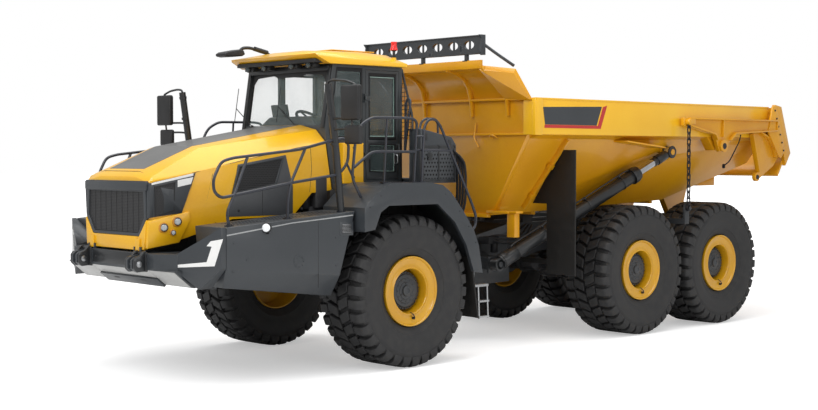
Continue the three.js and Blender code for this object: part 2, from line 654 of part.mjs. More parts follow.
function rearFrame() {
  const face = rollFaceX - 6;
  const nose = convex([
    [face, -300, 740], [face, 300, 740], [face, -300, 1400], [face, 300, 1400],
    [-3000, -440, 780], [-3000, 440, 780], [-3000, -440, 1600], [-3000, 440, 1600],
  ]);
  const bore = boreFor([face - 260, 0, hitchZ], [face + 40, 0, hitchZ], spigotRadius, 20);
  const rail = sidePlate([[-2960, 1000], [-2960, 1600], [-6950, 1640], [-6950, 1480], [-6600, 1250],
    [-3600, 1180]], 320, frameRearHalf);
  const cross = [-3100, -4200, -5515, -6600].map((x) => block(x, x + 100, -325, 325, 1300, 1560));
  const bogieTube = bar([-5465, -700, 1150], [-5465, 700, 1150], 90, 12);
  const bogieWeb = block(-5560, -5370, 325, 435, 1100, 1300);
  const hoistFoot = block(hoistBase[0] - 330, hoistBase[0] + 25, 300, 750, 1000, 1160);
  const hoistLug = block(hoistBase[0] - 90, hoistBase[0] + 70, 725, 758, 960, 1180);
  const hoistPin = bar([hoistBase[0], 740, hoistBase[2]], [hoistBase[0], 930, hoistBase[2]], hoistPinRadius, 12);
  const crown = crownAt(hoistBase, crownRadius, 16);
  const bedLug = block(bedPivotX - 70, bedPivotX + 70, 330, 430, 1450, bedPivotZ + 10);
  const bedPin = bar([bedPivotX, 320, bedPivotZ], [bedPivotX, 560, bedPivotZ], bedPinRadius, 16);
  const chainArm = block(-5450, -5350, 430, chainY - 30, 1560, 1640);
  const chainPost = block(-5450, -5350, chainY - 60, chainY - 25, 1560, chainLowZ + 40);
  const chainPin = bar([chainX, chainY - 40, chainLowZ], [chainX, chainY + 27, chainLowZ], chainPinRadius, 12);
  const rest = block(-3500, -3300, 330, 430, 1590, 1775);
  const side = join(rail, bogieWeb, hoistFoot, hoistLug, hoistPin, crown, bedLug, bedPin, chainArm, chainPost,
    chainPin, rest);
  return join(nose.subtract(bore), ...cross, bogieTube, bothSides(side));
}

function rearAxles() {
  const axle = (x) => join(
    bar([x, -940, wheelRadius], [x, 940, wheelRadius], 130, 12),
    bar([x, -220, wheelRadius], [x, 220, wheelRadius], 205, 12),
    bothSides(bar([x, 930, wheelRadius], [x, hubFaceY - seatGap, wheelRadius], 190, 16)),
  );
  const beam = sidePlate([[midAxleX + 140, 850], [midAxleX + 140, 1010], [-5250, 1240], [-5680, 1240],
    [rearAxleX - 140, 1010], [rearAxleX - 140, 850]].reverse(), 700 + seatGap, 820);
  const shaft = bar([midAxleX, 0, wheelRadius], [rearAxleX, 0, wheelRadius], 60, 10);
  const frontShaft = bar([midAxleX, 0, wheelRadius], [midAxleX + 400, 0, wheelRadius + 30], 100, 10);
  return join(axle(midAxleX), axle(rearAxleX), bothSides(beam), shaft, frontShaft);
}

function rearMudFlap() {
  const flap = crossPlate([[1640, 930], [1640, 2640], [1380, 2640], [870, 1900], [1130, 1900],
    [1130, 930]], -3040, -3015);
  const bracket = block(-3100, -3035, frameRearHalf + seatGap, 1200, 1060, 1130);
  return join(flap, bracket);
}

// ---- dump body ---------------------------------------------------------------------------
function bedTub(offset, frontShift, topZ) {
  const low = 1745 + offset;
  const knee = bedKneeZ;
  const section = (x, z, half, kneeHalf) => [[x, half - offset, z], [x, -half + offset, z],
    [x, kneeHalf - offset, knee], [x, -kneeHalf + offset, knee],
    [x, kneeHalf - offset, topZ], [x, -kneeHalf + offset, topZ]];
  const front = bedFrontX - frontShift;
  const main = convex([
    ...section(front - 70, low, bedHalfLow, bedHalfHigh),
    [front, bedHalfHigh - offset, knee], [front, -bedHalfHigh + offset, knee],
    [front, bedHalfHigh - offset, topZ], [front, -bedHalfHigh + offset, topZ],
    ...section(-6120, 1871 + offset, bedHalfLow + 20, bedHalfHigh),
  ]);
  const chute = convex([
    ...section(-6110, 1870 + offset, bedHalfLow + 20, bedHalfHigh),
    ...section(bedRearX, 2440 + offset, 1180, bedHalfHigh),
  ]);
  return join(main, chute);
}

function dumpBody() {
  const outer = bedTub(0, 0, bedTopZ);
  const inner = bedTub(bedWall, bedWall, bedTopZ + 200);
  const through = inner.translate([-60, 0, 25]).trimByPlane([1, 0, 0], -9000);
  const rail = block(-7700, bedFrontX + 40, bedHalfHigh - 40, railHalf, bedKneeZ, bedTopZ);
  const under = convex([[bedFrontX - 60, bedHalfHigh - 70, bedKneeZ - 60], [bedFrontX - 60, railHalf, bedKneeZ + 5],
    [bedFrontX - 60, bedHalfHigh - 70, bedKneeZ + 5], [-7700, bedHalfHigh - 70, bedKneeZ - 60],
    [-7700, railHalf, bedKneeZ + 5], [-7700, bedHalfHigh - 70, bedKneeZ + 5]]);
  const guardTop = [[bedFrontX, 3300], [bedFrontX + 40, 3450], [bedFrontX + 150, 3590], [bedFrontX + 330, 3680],
    [-1700, 3710], [-1700, 3820], [-1740, 3820], [-1740, 3750], [bedFrontX + 310, 3720],
    [bedFrontX + 120, 3625], [bedFrontX + 5, 3470], [bedFrontX - 40, 3300]];
  const guard = sidePlate(guardTop.reverse(), -1130, 1130);
  const wing = convex([[-1700, 1110, 3690], [-1740, 1110, 3750], [-1960, 1480, 3640], [-2000, 1480, 3700],
    [-2150, railHalf - 60, 3300], [-2210, railHalf - 60, 3300], [bedFrontX + 40, 1110, 3300],
    [bedFrontX + 0, 1110, 3300]]);
  const pivotLug = sidePlate([[bedPivotX - 90, bedPivotZ - 60], [bedPivotX + 90, bedPivotZ - 60],
    [bedPivotX + 400, 1985], [bedPivotX - 350, 2240]], 445, 545);
  const pivotBore = boreFor([bedPivotX, 400, bedPivotZ], [bedPivotX, 600, bedPivotZ], bedPinRadius, 16);
  const lug = pivotLug.subtract(pivotBore);
  const gateLug = sidePlate([[gatePivotX - 260, 2850], [gatePivotX - 80, 2640], [gatePivotX + 80, 2640],
    [gatePivotX + 260, 2850]], 1500, railHalf);
  const gatePin = bar([gatePivotX, 1600, gatePivotZ], [gatePivotX, gateArmOut + 10, gatePivotZ],
    gatePinRadius, 12);
  const lugFace = hoistEye[1] - hoistRodRadius - 21;
  const eyeLug = convex([[hoistEye[0] + 80, 1250, 2690], [hoistEye[0] - 330, 1300, 2760],
    [hoistEye[0] + 70, 1230, 2560], [hoistEye[0] - 70, 1230, 2560], [hoistEye[0] + 80, lugFace, 2690],
    [hoistEye[0] - 330, lugFace, 2760], [hoistEye[0] + 70, lugFace, 2560],
    [hoistEye[0] - 70, lugFace, 2560]]);
  const side = join(rail, under, wing, lug, gateLug, gatePin, eyeLug);
  const shell = join(outer, guard, bothSides(side));
  return shell.subtract(inner).subtract(through);
}

function lightBar() {
  const panel = block(-1760, -1710, -1140, 1140, 3900, 4150);
  const posts = [-840, 0, 840].map((y) => bar([-1735, y, 3820 + seatGap], [-1735, y, 3910], 22, 8));
  const stay = bar([-1750, 1100, 4050], [-2080, 1380, 3745], 20, 6);
  return join(panel, ...posts, bothSides(stay));
}

function tailgate() {
  const arm = sidePlate([[-5330, 3110], [-5330, 3000], [-6100, 2870], [gatePivotX + 70, 2620],
    [gatePivotX - 70, 2620], [-6560, 2870], [-7500, 2945], [-7900, 2900], [-8050, 2400],
    [-8190, 2600], [-7916, 3333], [-7743, 3361], [-7640, 3110]].reverse(), gateArmIn, gateArmOut);
  const bore = boreFor([gatePivotX, 1600, gatePivotZ], [gatePivotX, 1900, gatePivotZ], gatePinRadius, 12);
  const plate = sidePlate([[-7916, 3320], [-8170, 2617], [-7920, 2230], [-7890, 2260], [-8125, 2625],
    [-7880, 3320]].reverse(), -gateArmIn - 5, gateArmIn + 5);
  const side = arm.subtract(bore);
  return join(bothSides(side), plate);
}

// ---- cylinders and chains ------------------------------------------------------------------
function alongLine(from, to, distance) {
  const start = new THREE.Vector3(...from);
  const dir = new THREE.Vector3(...to).sub(start).normalize();
  return start.addScaledVector(dir, distance).toArray();
}

function hoistBarrel() {
  const tube = bar(alongLine(hoistBase, hoistEye, 60), alongLine(hoistBase, hoistEye, 2780), 95, 16);
  const bore = bar(alongLine(hoistBase, hoistEye, 400), alongLine(hoistBase, hoistEye, 2900),
    hoistRodRadius + rodGap, 14);
  const eye = bar([hoistBase[0], 785, hoistBase[2]], [hoistBase[0], 915, hoistBase[2]], 90, 16);
  const hole = boreFor([hoistBase[0], 700, hoistBase[2]], [hoistBase[0], 1000, hoistBase[2]],
    crownRadius, 16);
  return join(tube, eye).subtract(bore).subtract(hole);
}

function hoistRod() {
  const rod = bar(alongLine(hoistBase, hoistEye, 700), alongLine(hoistBase, hoistEye, 3420),
    hoistRodRadius, 14);
  const eye = bar([hoistEye[0], hoistEye[1] - 45, hoistEye[2]], [hoistEye[0], hoistEye[1] + 45, hoistEye[2]],
    85, 16);
  const pin = bar([hoistEye[0], hoistEye[1] - hoistRodRadius - 15, hoistEye[2]], [hoistEye[0], hoistEye[1] + 60, hoistEye[2]],
    42, 12);
  return join(rod, eye, pin);
}

function steerBarrel() {
  const pinX = hingeX + steerPinOffset;
  const tube = bar([pinX - 30, steerPinY, hitchZ], [pinX - 850, steerPinY, hitchZ], 55, 14);
  const bore = bar([pinX - 100, steerPinY, hitchZ], [pinX - 900, steerPinY, hitchZ],
    steerRodRadius + rodGap, 14);
  const eye = bar([pinX, steerPinY, hitchZ - 55], [pinX, steerPinY, hitchZ + 55], 55, 14);
  const hole = boreFor([pinX, steerPinY, hitchZ - 90], [pinX, steerPinY, hitchZ + 90], steerPinRadius, 12);
  return join(tube, eye).subtract(bore).subtract(hole);
}

function steerRod() {
  const pinX = hingeX - steerPinOffset;
  const rod = bar([pinX + 1070, steerPinY, hitchZ], [pinX + 30, steerPinY, hitchZ], steerRodRadius, 14);
  const eye = bar([pinX, steerPinY, hitchZ - 50], [pinX, steerPinY, hitchZ + 50], 55, 14);
  return join(rod, eye);
}

function chain() {
  const links = bar([chainX, chainY, chainLowZ + 35], [chainX, chainY, chainTopZ], 18, 6);
  const eye = bar([chainX, chainY - 18, chainLowZ], [chainX, chainY + 18, chainLowZ], 48, 12);
  const hole = boreFor([chainX, chainY - 60, chainLowZ], [chainX, chainY + 60, chainLowZ],
    chainPinRadius, 12);
  return join(links, eye).subtract(hole);
}

// ---- assembly ----------------------------------------------------------------------------
addPiece('front_frame', frontFrame(), darkGrey);
addPiece('front_axle', frontAxle(), darkGrey);
addPiece('engine_block', engineBlock(), darkGrey);
addPiece('bumper', bumper(), darkGrey);
addPiece('side_boxes', sideBoxes(), darkGrey);
addPiece('fender_deck', fenderDeck(), darkGrey);
addPiece('cab_shell', cabShell(), darkGrey);
addPiece('cab_roof', cabRoof(), yellow);
addPiece('cab_glass', cabGlass(), glassTint);
addPiece('operator_seat', operatorSeat(), black);
addPiece('dashboard', dashboard(), black);
addPiece('cooler_boxes', coolerBoxes(), darkGrey);
addPiece('hood_cover', hoodCover(), yellow);
addPiece('hood_grille', hoodGrille(), black);
addPiece('step_ladder', stepLadder(), silver);
addPiece('beacon', beacon(), beaconRed);
addPiece('roof_mirror', roofMirror(), black);
addPiece('side_cabinet', sideCabinet(), yellow);
addPiece('door_panel', doorPanel(), darkGrey);
addPiece('door_glass', doorGlass(), glassTint);
addPiece('hitch', hitchCasting(), darkGrey);
addPiece('rear_frame', rearFrame(), darkGrey);
addPiece('rear_axles', rearAxles(), darkGrey);
addPiece('dump_body', dumpBody(), yellow);
addPiece('light_bar', lightBar(), darkGrey);
addPiece('tailgate', tailgate(), yellow);
for (const [label, x] of [['front', 0], ['mid', midAxleX], ['rear', rearAxleX]]) {
  for (const [side, sign] of [['left', 1], ['right', -1]]) {
    addPiece(`${label}_${side}_tyre`, tyre(x, sign), black);
    addPiece(`${label}_${side}_rim`, rim(x, sign), yellow);
  }
}
for (const [side, flip] of [['left', (s) => s], ['right', mirrored]]) {
  addPiece(`headlamp_${side}`, flip(headlamp()), glassTint);
  addPiece(`front_mud_flap_${side}`, flip(frontMudFlap()), black);
  addPiece(`rear_mud_flap_${side}`, flip(rearMudFlap()), black);
  addPiece(`deck_rail_${side}`, flip(deckRails(side === 'left' ? 0 : rightRailBack)), darkGrey);
  addPiece(`hoist_barrel_${side}`, flip(hoistBarrel()), darkGrey);
  addPiece(`hoist_rod_${side}`, flip(hoistRod()), silver);
  addPiece(`steer_barrel_${side}`, flip(steerBarrel()), darkGrey);
  addPiece(`steer_rod_${side}`, flip(steerRod()), silver);
  addPiece(`chain_${side}`, flip(chain()), black);
}

export default group;
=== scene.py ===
import bpy
import bmesh
import math
from mathutils import Matrix, Vector


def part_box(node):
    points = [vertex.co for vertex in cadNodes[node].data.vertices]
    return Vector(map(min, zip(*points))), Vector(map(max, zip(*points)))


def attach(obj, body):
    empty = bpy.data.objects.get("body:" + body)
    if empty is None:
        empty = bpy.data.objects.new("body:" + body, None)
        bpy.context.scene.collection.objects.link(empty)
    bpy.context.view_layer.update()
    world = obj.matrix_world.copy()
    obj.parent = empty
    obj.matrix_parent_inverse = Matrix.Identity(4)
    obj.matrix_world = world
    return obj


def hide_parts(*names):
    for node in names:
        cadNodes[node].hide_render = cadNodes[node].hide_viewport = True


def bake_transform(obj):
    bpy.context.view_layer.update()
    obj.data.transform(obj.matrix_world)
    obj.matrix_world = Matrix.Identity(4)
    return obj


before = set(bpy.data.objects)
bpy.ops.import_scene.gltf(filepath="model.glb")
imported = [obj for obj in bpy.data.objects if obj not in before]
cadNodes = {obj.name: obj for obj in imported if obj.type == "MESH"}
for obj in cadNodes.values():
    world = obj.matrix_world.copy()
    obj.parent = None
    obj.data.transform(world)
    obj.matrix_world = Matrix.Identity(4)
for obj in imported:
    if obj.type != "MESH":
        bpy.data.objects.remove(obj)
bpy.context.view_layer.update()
print("frame loaded")


def middleOf(node):
    low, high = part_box(node)
    return (Vector(low) + Vector(high)) / 2


axleX = middleOf("front_left_tyre").x  # every x below is measured from the front axle


# finishes

def rgb(red, green, blue):
    # display colour, 0 to 255, to the linear values that shaders take
    linear = []
    for value in (red, green, blue):
        part = value / 255
        linear.append(part / 12.92 if part <= 0.04045 else ((part + 0.055) / 1.055) ** 2.4)
    return (*linear, 1)


class Num:
    # a number socket that takes part in plain sums
    def __init__(self, finish, socket):
        self.finish = finish
        self.socket = socket

    def calc(self, operation, first, second=None, clamp=False):
        inputs = {0: first}
        if second is not None:
            inputs[1] = second
        node = self.finish.add("ShaderNodeMath", {"operation": operation, "use_clamp": clamp}, inputs)
        return Num(self.finish, node.outputs[0])

    def __add__(self, other):
        return self.calc("ADD", self, other)

    __radd__ = __add__

    def __sub__(self, other):
        return self.calc("SUBTRACT", self, other)

    def __rsub__(self, other):
        return self.calc("SUBTRACT", other, self)

    def __mul__(self, other):
        return self.calc("MULTIPLY", self, other)

    __rmul__ = __mul__

    def __truediv__(self, other):
        return self.calc("DIVIDE", self, other)

    def __gt__(self, other):
        return self.calc("GREATER_THAN", self, other)

    def __mod__(self, other):
        return self.calc("FLOORED_MODULO", self, other)

    def __abs__(self):
        return self.calc("ABSOLUTE", self)

    def ramp(self, low, high):
        # 0 below low, 1 above high
        return self.calc("MULTIPLY", self - low, 1 / (high - low), True)


class Finish:
    def __init__(self, name, roughness=0.5, metallic=0.0, **fixed):
        self.material = bpy.data.materials.new(name)
        self.material.use_nodes = True
        self.tree = self.material.node_tree
        self.shader = self.tree.nodes["Principled BSDF"]
        self.set("Roughness", roughness)
        self.set("Metallic", metallic)
        for key, value in fixed.items():
            self.set(key.replace("_", " "), value)

    def set(self, key, value):
        self.wire(self.shader.inputs[key], value)

    def wire(self, target, value):
        source = value.socket if isinstance(value, Num) else value
        if isinstance(source, bpy.types.NodeSocket):
            self.tree.links.new(source, target)
        else:
            target.default_value = source

    def add(self, kind, settings=None, inputs=None):
        node = self.tree.nodes.new(kind)
        for key, value in (settings or {}).items():
            if key == "stops":
                ramp = node.color_ramp
                for index, (place, colour) in enumerate(value):
                    stop = ramp.elements[index] if index < 2 else ramp.elements.new(place)
                    stop.position = place
                    stop.color = colour
            else:
                setattr(node, key, value)
        for key, value in (inputs or {}).items():
            self.wire(node.inputs[key], value)
        return node

    def coords(self):
        return self.add("ShaderNodeTexCoord").outputs["Object"]

    def place(self):
        split = self.add("ShaderNodeSeparateXYZ", {}, {0: self.coords()})
        return [Num(self, split.outputs[axis]) for axis in range(3)]

    def facing(self):
        # the surface's own direction, as three numbers
        split = self.add("ShaderNodeSeparateXYZ", {}, {0: self.add("ShaderNodeNewGeometry").outputs["Normal"]})
        return [Num(self, split.outputs[axis]) for axis in range(3)]

    def noise(self, scale, detail=3.0, stretch=(1, 1, 1)):
        turned = self.add("ShaderNodeMapping", {}, {"Vector": self.coords(), "Scale": stretch})
        node = self.add("ShaderNodeTexNoise", {}, {"Vector": turned.outputs[0], "Scale": scale, "Detail": detail})
        return Num(self, node.outputs[0])

    def cells(self, scale):
        node = self.add("ShaderNodeTexVoronoi", {}, {"Vector": self.coords(), "Scale": scale})
        return Num(self, node.outputs["Distance"])

    def mix(self, mask, below, above):
        node = self.add("ShaderNodeMix", {"data_type": "RGBA"}, {0: mask, 6: below, 7: above})
        return node.outputs[2]

    def bump(self, height, depth, strength=1.0):
        node = self.add("ShaderNodeBump", {}, {"Height": height, "Distance": depth, "Strength": strength})
        self.set("Normal", node.outputs[0])

    def edges(self, width):
        # 1 where two faces meet sharply
        bevel = self.add("ShaderNodeBevel", {"samples": 4}, {"Radius": width})
        dot = self.add("ShaderNodeVectorMath", {"operation": "DOT_PRODUCT"},
                       {0: bevel.outputs[0], 1: self.add("ShaderNodeNewGeometry").outputs["Normal"]})
        return (1 - Num(self, dot.outputs["Value"])).ramp(0.02, 0.2)


# the colours of every finish: the plain one, and the one that clouds it
tones = {
    "yellow": (rgb(240, 184, 14), rgb(228, 166, 8)), "grey": (rgb(53, 57, 61), rgb(46, 50, 54)),
    # the pale grey is only for the painted highlight along the side boxes' top edge
    "frame": (rgb(44, 47, 50), rgb(36, 38, 41)), "pale": (rgb(168, 170, 170), rgb(150, 152, 153)),
    "white": (rgb(240, 240, 238), rgb(228, 228, 226)), "stripe": (rgb(100, 100, 99), rgb(90, 90, 89)),
    "skid": (rgb(196, 196, 194), rgb(180, 180, 178)), "red": (rgb(190, 36, 34), rgb(176, 30, 28)),
    "black": (rgb(34, 36, 38), rgb(28, 30, 32)), "box": (rgb(56, 60, 64), rgb(49, 53, 57)),
    "panel": (rgb(72, 74, 77), rgb(64, 66, 69)), "rail": (rgb(32, 36, 48), rgb(26, 30, 40)),
    # the lamp bowls' colour is the yellow darkened: painted shade inside the lamp recesses
    # the load bed's colour is the yellow darkened: painted shade on the bed
    "bowlShade": (rgb(206, 140, 26), rgb(190, 124, 18)), "bed": (rgb(222, 159, 12), rgb(210, 144, 7)),
    # the bed's top rails' colour is the yellow lightened: painted light on their lit faces
    "bedRail": (rgb(242, 188, 34), rgb(236, 178, 24)), "wheel": (rgb(218, 164, 18), rgb(202, 146, 10)),
    "hub": (rgb(56, 59, 63), rgb(48, 51, 54)), "cab": (rgb(52, 56, 58), rgb(45, 49, 51)),
    "tyre": (rgb(44, 44, 45), rgb(66, 65, 63)), "flap": (rgb(26, 25, 24), rgb(40, 38, 36)),
    "hose": (rgb(22, 22, 24), rgb(34, 34, 35)), "blackPlastic": (rgb(20, 20, 21), rgb(58, 58, 60)),
    "trimPlastic": (rgb(36, 37, 39), rgb(58, 58, 60)), "cloth": (rgb(30, 31, 33), rgb(52, 53, 56)),
    # for the three meshes the second colour is the dark of the holes: painted shade seen through them
    "grilleMesh": (rgb(54, 54, 55), rgb(10, 10, 11)), "ventMesh": (rgb(40, 40, 41), rgb(8, 8, 9)),
    "boxMesh": (rgb(74, 77, 80), rgb(12, 12, 14)), "dust": rgb(150, 138, 118),
    "stain": rgb(92, 90, 86), "haze": rgb(150, 160, 158),
}


def coated(name, tone, roughness, coat, grain=0.0004):
    # sprayed enamel: cloudy tone, dust low down, faint orange peel
    finish = Finish(name, Coat_Roughness=0.08)
    x, y, z = finish.place()
    cloud = finish.noise(1.3, 4)
    fine = finish.noise(38, 2)
    body = finish.mix((cloud * 0.8 + fine * 0.2).ramp(0.35, 0.68), *tones[tone])
    dust = (1.3 - z).ramp(0.0, 1.3) * finish.noise(6, 5).ramp(0.45, 0.8) * 0.16
    finish.set("Base Color", finish.mix(dust, body, tones["dust"]))
    finish.set("Roughness", fine * 0.08 + cloud * 0.1 + dust + (roughness - 0.09))
    finish.set("Coat Weight", (1 - dust * 3) * coat)
    finish.bump(finish.noise(420, 2), grain, 0.25)
    return finish


yellowPaint = coated("yellowPaint", "yellow", 0.34, 0.45)
greyPaint = coated("greyPaint", "grey", 0.42, 0.2, 0.0008)
framePaint = coated("framePaint", "frame", 0.5, 0.08, 0.001)
# a pale grey only for the painted highlight along the side boxes' rounded top edge
highlightGrey = coated("highlightGrey", "pale", 0.45, 0.1)
whitePaint = coated("whitePaint", "white", 0.35, 0.3)
stripePaint = coated("stripePaint", "stripe", 0.45, 0.1)
skidPaint = coated("skidPaint", "skid", 0.45, 0.1)
redPaint = coated("redPaint", "red", 0.35, 0.4)
blackPaint = coated("blackPaint", "black", 0.4, 0.25, 0.0006)
boxPaint = coated("boxPaint", "box", 0.44, 0.15, 0.0009)
panelPaint = coated("panelPaint", "panel", 0.42, 0.2, 0.0006)
railPaint = coated("railPaint", "rail", 0.36, 0.35)
# the lamp bowls: the yellow darkened, painted shade inside the recessed bowls
bowlShadePaint = coated("bowlPaintedShade", "bowlShade", 0.4, 0.3)
# the load bed: the yellow darkened, painted shade
shadedBedPaint = coated("shadedBedPaint", "bed", 0.36, 0.4)
# the bed's top rails: the yellow lightened, painted light on their lit outer faces
litBedRailPaint = coated("litBedRailPaint", "bedRail", 0.34, 0.45)
wheelPaint = coated("wheelPaint", "wheel", 0.3, 0.5)
hubPaint = coated("hubPaint", "hub", 0.45, 0.15)
cabGrey = coated("cabGrey", "cab", 0.38, 0.3, 0.0006)


def rubberFinish(name, tone, dustAmount):
    finish = Finish(name, Specular_IOR_Level=0.35)
    x, y, z = finish.place()
    grime = finish.noise(9, 6).ramp(0.42, 0.75)
    finish.set("Base Color", finish.mix(grime * dustAmount, *tones[tone]))
    finish.set("Roughness", grime * 0.15 + 0.55)
    finish.bump(finish.noise(160, 3) + finish.noise(34, 2) * 0.6, 0.0015, 0.5)
    return finish


tyreRubber = rubberFinish("tyreRubber", "tyre", 0.5)
flapRubber = rubberFinish("flapRubber", "flap", 0.4)
hoseRubber = rubberFinish("hoseRubber", "hose", 0.3)


def plasticFinish(name, roughness):
    finish = Finish(name)
    speck = finish.noise(240, 3)
    cloud = finish.noise(3, 3)
    finish.set("Base Color", finish.mix(cloud.ramp(0.3, 0.75) * 0.35, *tones[name]))
    finish.set("Roughness", speck * 0.14 + (roughness - 0.07))
    finish.bump(speck, 0.0006, 0.45)
    return finish


blackPlastic = plasticFinish("blackPlastic", 0.5)
trimPlastic = plasticFinish("trimPlastic", 0.55)


def metalFinish(name, colour, roughness, streaks=(1, 1, 1), metallic=1.0):
    finish = Finish(name, metallic=metallic)
    brushed = finish.noise(60, 4, streaks)
    stain = finish.noise(5, 5).ramp(0.45, 0.85)
    finish.set("Base Color", finish.mix(stain * 0.3, colour, tones["stain"]))
    finish.set("Roughness", brushed * 0.16 + stain * 0.12 + (roughness - 0.1))
    finish.bump(brushed, 0.0006, 0.3)
    return finish


chromeRod = metalFinish("chromeRod", rgb(196, 198, 202), 0.16, (1, 12, 1))
bareSteel = metalFinish("bareSteel", rgb(176, 178, 180), 0.34)
darkSteel = metalFinish("darkSteel", rgb(58, 58, 62), 0.45, metallic=0.7)
ironFinish = metalFinish("ironFinish", rgb(60, 60, 62), 0.6, metallic=0.4)


def glassFinish(name, colour, alpha):
    finish = Finish(name, 0.04, Specular_IOR_Level=0.6)
    haze = finish.noise(2.2, 4).ramp(0.4, 0.8)
    finish.set("Base Color", finish.mix(haze * 0.2, colour, tones["haze"]))
    finish.set("Roughness", haze * 0.05 + 0.03)
    finish.set("Alpha", haze * 0.05 + alpha)
    return finish


cabGlass = glassFinish("cabGlass", rgb(66, 76, 76), 0.72)
paneGlass = glassFinish("paneGlass", rgb(190, 208, 204), 0.07)
lampGlass = glassFinish("lampGlass", rgb(225, 230, 232), 0.4)


def meshFinish(name, pitch):
    # punched sheet seen from close: rows of small holes, painted dark for the shade seen through them
    finish = Finish(name, 0.55, 0.2)
    x, y, z = finish.place()
    along = x + y
    row = (z / pitch) % 2 > 1
    across = abs((along / pitch + row * 0.5) % 1 - 0.5)
    upward = abs((z / pitch) % 1 - 0.5)
    hole = (across * across + upward * upward).ramp(0.05, 0.09)
    # the holes take the dark colour: painted shade, as nothing is cut through
    finish.set("Base Color", finish.mix(hole, *tones[name][::-1]))
    finish.set("Roughness", 0.8 - hole * 0.3)
    finish.bump(hole, 0.004, 0.9)
    return finish


grilleMesh = meshFinish("grilleMesh", 0.017)
ventMesh = meshFinish("ventMesh", 0.021)
boxMesh = meshFinish("boxMesh", 0.05)


def seatFinish():
    finish = Finish("seatCloth", 0.85, Sheen_Weight=0.3)
    x, y, z = finish.place()
    weave = abs((x + y) * 240 % 1 - 0.5) + abs((z - x) * 240 % 1 - 0.5)
    finish.set("Base Color", finish.mix(weave.ramp(0.2, 0.8), *tones["cloth"]))
    finish.bump(weave, 0.0012, 0.6)
    return finish


seatCloth = seatFinish()


def lampFinish(name, colour, roughness=0.15, glow=0.0):
    finish = Finish(name, roughness, Coat_Weight=0.6)
    ribs = abs(finish.place()[2] * 90 % 1 - 0.5)
    finish.set("Base Color", finish.mix(ribs, colour, tuple(c * 0.75 for c in colour[:3]) + (1,)))
    finish.set("Emission Color", colour)
    finish.set("Emission Strength", glow)
    finish.bump(ribs, 0.002, 0.4)
    return finish


redLens = lampFinish("redLens", rgb(214, 22, 14), 0.2, 0.25)
whiteLens = lampFinish("whiteLens", rgb(238, 240, 242), 0.2, 0.15)
glassEdgeTint = lampFinish("glassEdgeTint", rgb(150, 176, 166), 0.25)
mirrorGlass = metalFinish("mirrorGlass", rgb(150, 156, 160), 0.12)
print("finishes made")


# making pieces

making = {"mergeGap": 0.0002, "nodeGap": 0.0001, "bevelFrom": 28, "flatWithin": 2}


def finishPiece(name, bm, body, finish, slot, bevel=0.0, segments=2, smooth=35, replaces=(), recalc=True):
    # merges, orients and bevels a bmesh, then hands it to the frame; a body of four values only has its place baked in,
    # with no bending between the two bodies named
    bmesh.ops.remove_doubles(bm, verts=bm.verts, dist=making["mergeGap"])
    if recalc:
        bmesh.ops.recalc_face_normals(bm, faces=bm.faces)
    if bevel:
        least = math.radians(making["bevelFrom"])
        sharp = [e for e in bm.edges if len(e.link_faces) == 2 and e.calc_face_angle() > least]
        bmesh.ops.bevel(bm, geom=sharp, offset=bevel, segments=segments, profile=0.5,
                        affect="EDGES", material=-1, clamp_overlap=True)
    mesh = bpy.data.meshes.new(name)
    bm.to_mesh(mesh)
    bm.free()
    for face in mesh.polygons:
        face.use_smooth = True
    mesh.set_sharp_from_angle(angle=math.radians(smooth))
    piece = bpy.data.objects.new(name, mesh)
    bpy.context.scene.collection.objects.link(piece)
    mesh.materials.append(finish.material)
    if isinstance(body, tuple):
        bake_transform(piece)
    else:
        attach(piece, body)
    if replaces:
        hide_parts(*replaces)
    return piece


def boxIn(bm, x0, x1, y0, y1, z0, z1, turn=None):
    # a block between two corners, x measured from the front axle
    made = bmesh.ops.create_cube(bm, size=1.0)["verts"]
    bmesh.ops.scale(bm, vec=(abs(x1 - x0), abs(y1 - y0), abs(z1 - z0)), verts=made)
    if turn:
        bmesh.ops.rotate(bm, cent=(0, 0, 0), matrix=turn, verts=made)
    bmesh.ops.translate(bm, vec=((x0 + x1) / 2 + axleX, (y0 + y1) / 2, (z0 + z1) / 2), verts=made)
    return made


def drumIn(bm, centre, direction, radius, length, sides=24, top=None):
    # a round bar whose middle is at centre
    turn = Vector((0, 0, 1)).rotation_difference(Vector(direction)).to_matrix()
    made = bmesh.ops.create_cone(bm, cap_ends=True, segments=sides, radius1=radius,
                                 radius2=radius if top is None else top, depth=length)["verts"]
    bmesh.ops.rotate(bm, cent=(0, 0, 0), matrix=turn, verts=made)
    bmesh.ops.translate(bm, vec=(centre[0] + axleX, centre[1], centre[2]), verts=made)
    return made


def spunIn(bm, profile, centre, axis="Y", steps=64):
    # a closed profile of (radius, along) turned round an axis
    line = []
    for radius, along in profile:
        line.append(bm.verts.new((radius, along, 0) if axis == "Y" else (radius, 0, along)))
    edges = [bm.edges.new((line[i], line[i + 1])) for i in range(len(line) - 1)]
    turnAxis = (0, 1, 0) if axis == "Y" else (0, 0, 1)
    before = set(bm.verts) - set(line)
    bmesh.ops.spin(bm, geom=line + edges, cent=(0, 0, 0), axis=turnAxis, angle=2 * math.pi,
                   steps=steps, use_merge=True)
    made = [v for v in bm.verts if v not in before]
    bmesh.ops.remove_doubles(bm, verts=made, dist=making["mergeGap"])
    made = [v for v in bm.verts if v not in before]
    if axis == "X":
        bmesh.ops.rotate(bm, cent=(0, 0, 0), matrix=Matrix.Rotation(math.pi / 2, 3, "Y"), verts=made)
    bmesh.ops.translate(bm, vec=(centre[0] + axleX, centre[1], centre[2]), verts=made)
    return made


def drumsIn(bm, centres, direction, radius, length, sides=6):
    # the same bar at several places; six sides make a bolt head
    for centre in centres:
        drumIn(bm, centre, direction, radius, length, sides)


def boxesIn(bm, rows):
    for row in rows:
        boxIn(bm, *row)


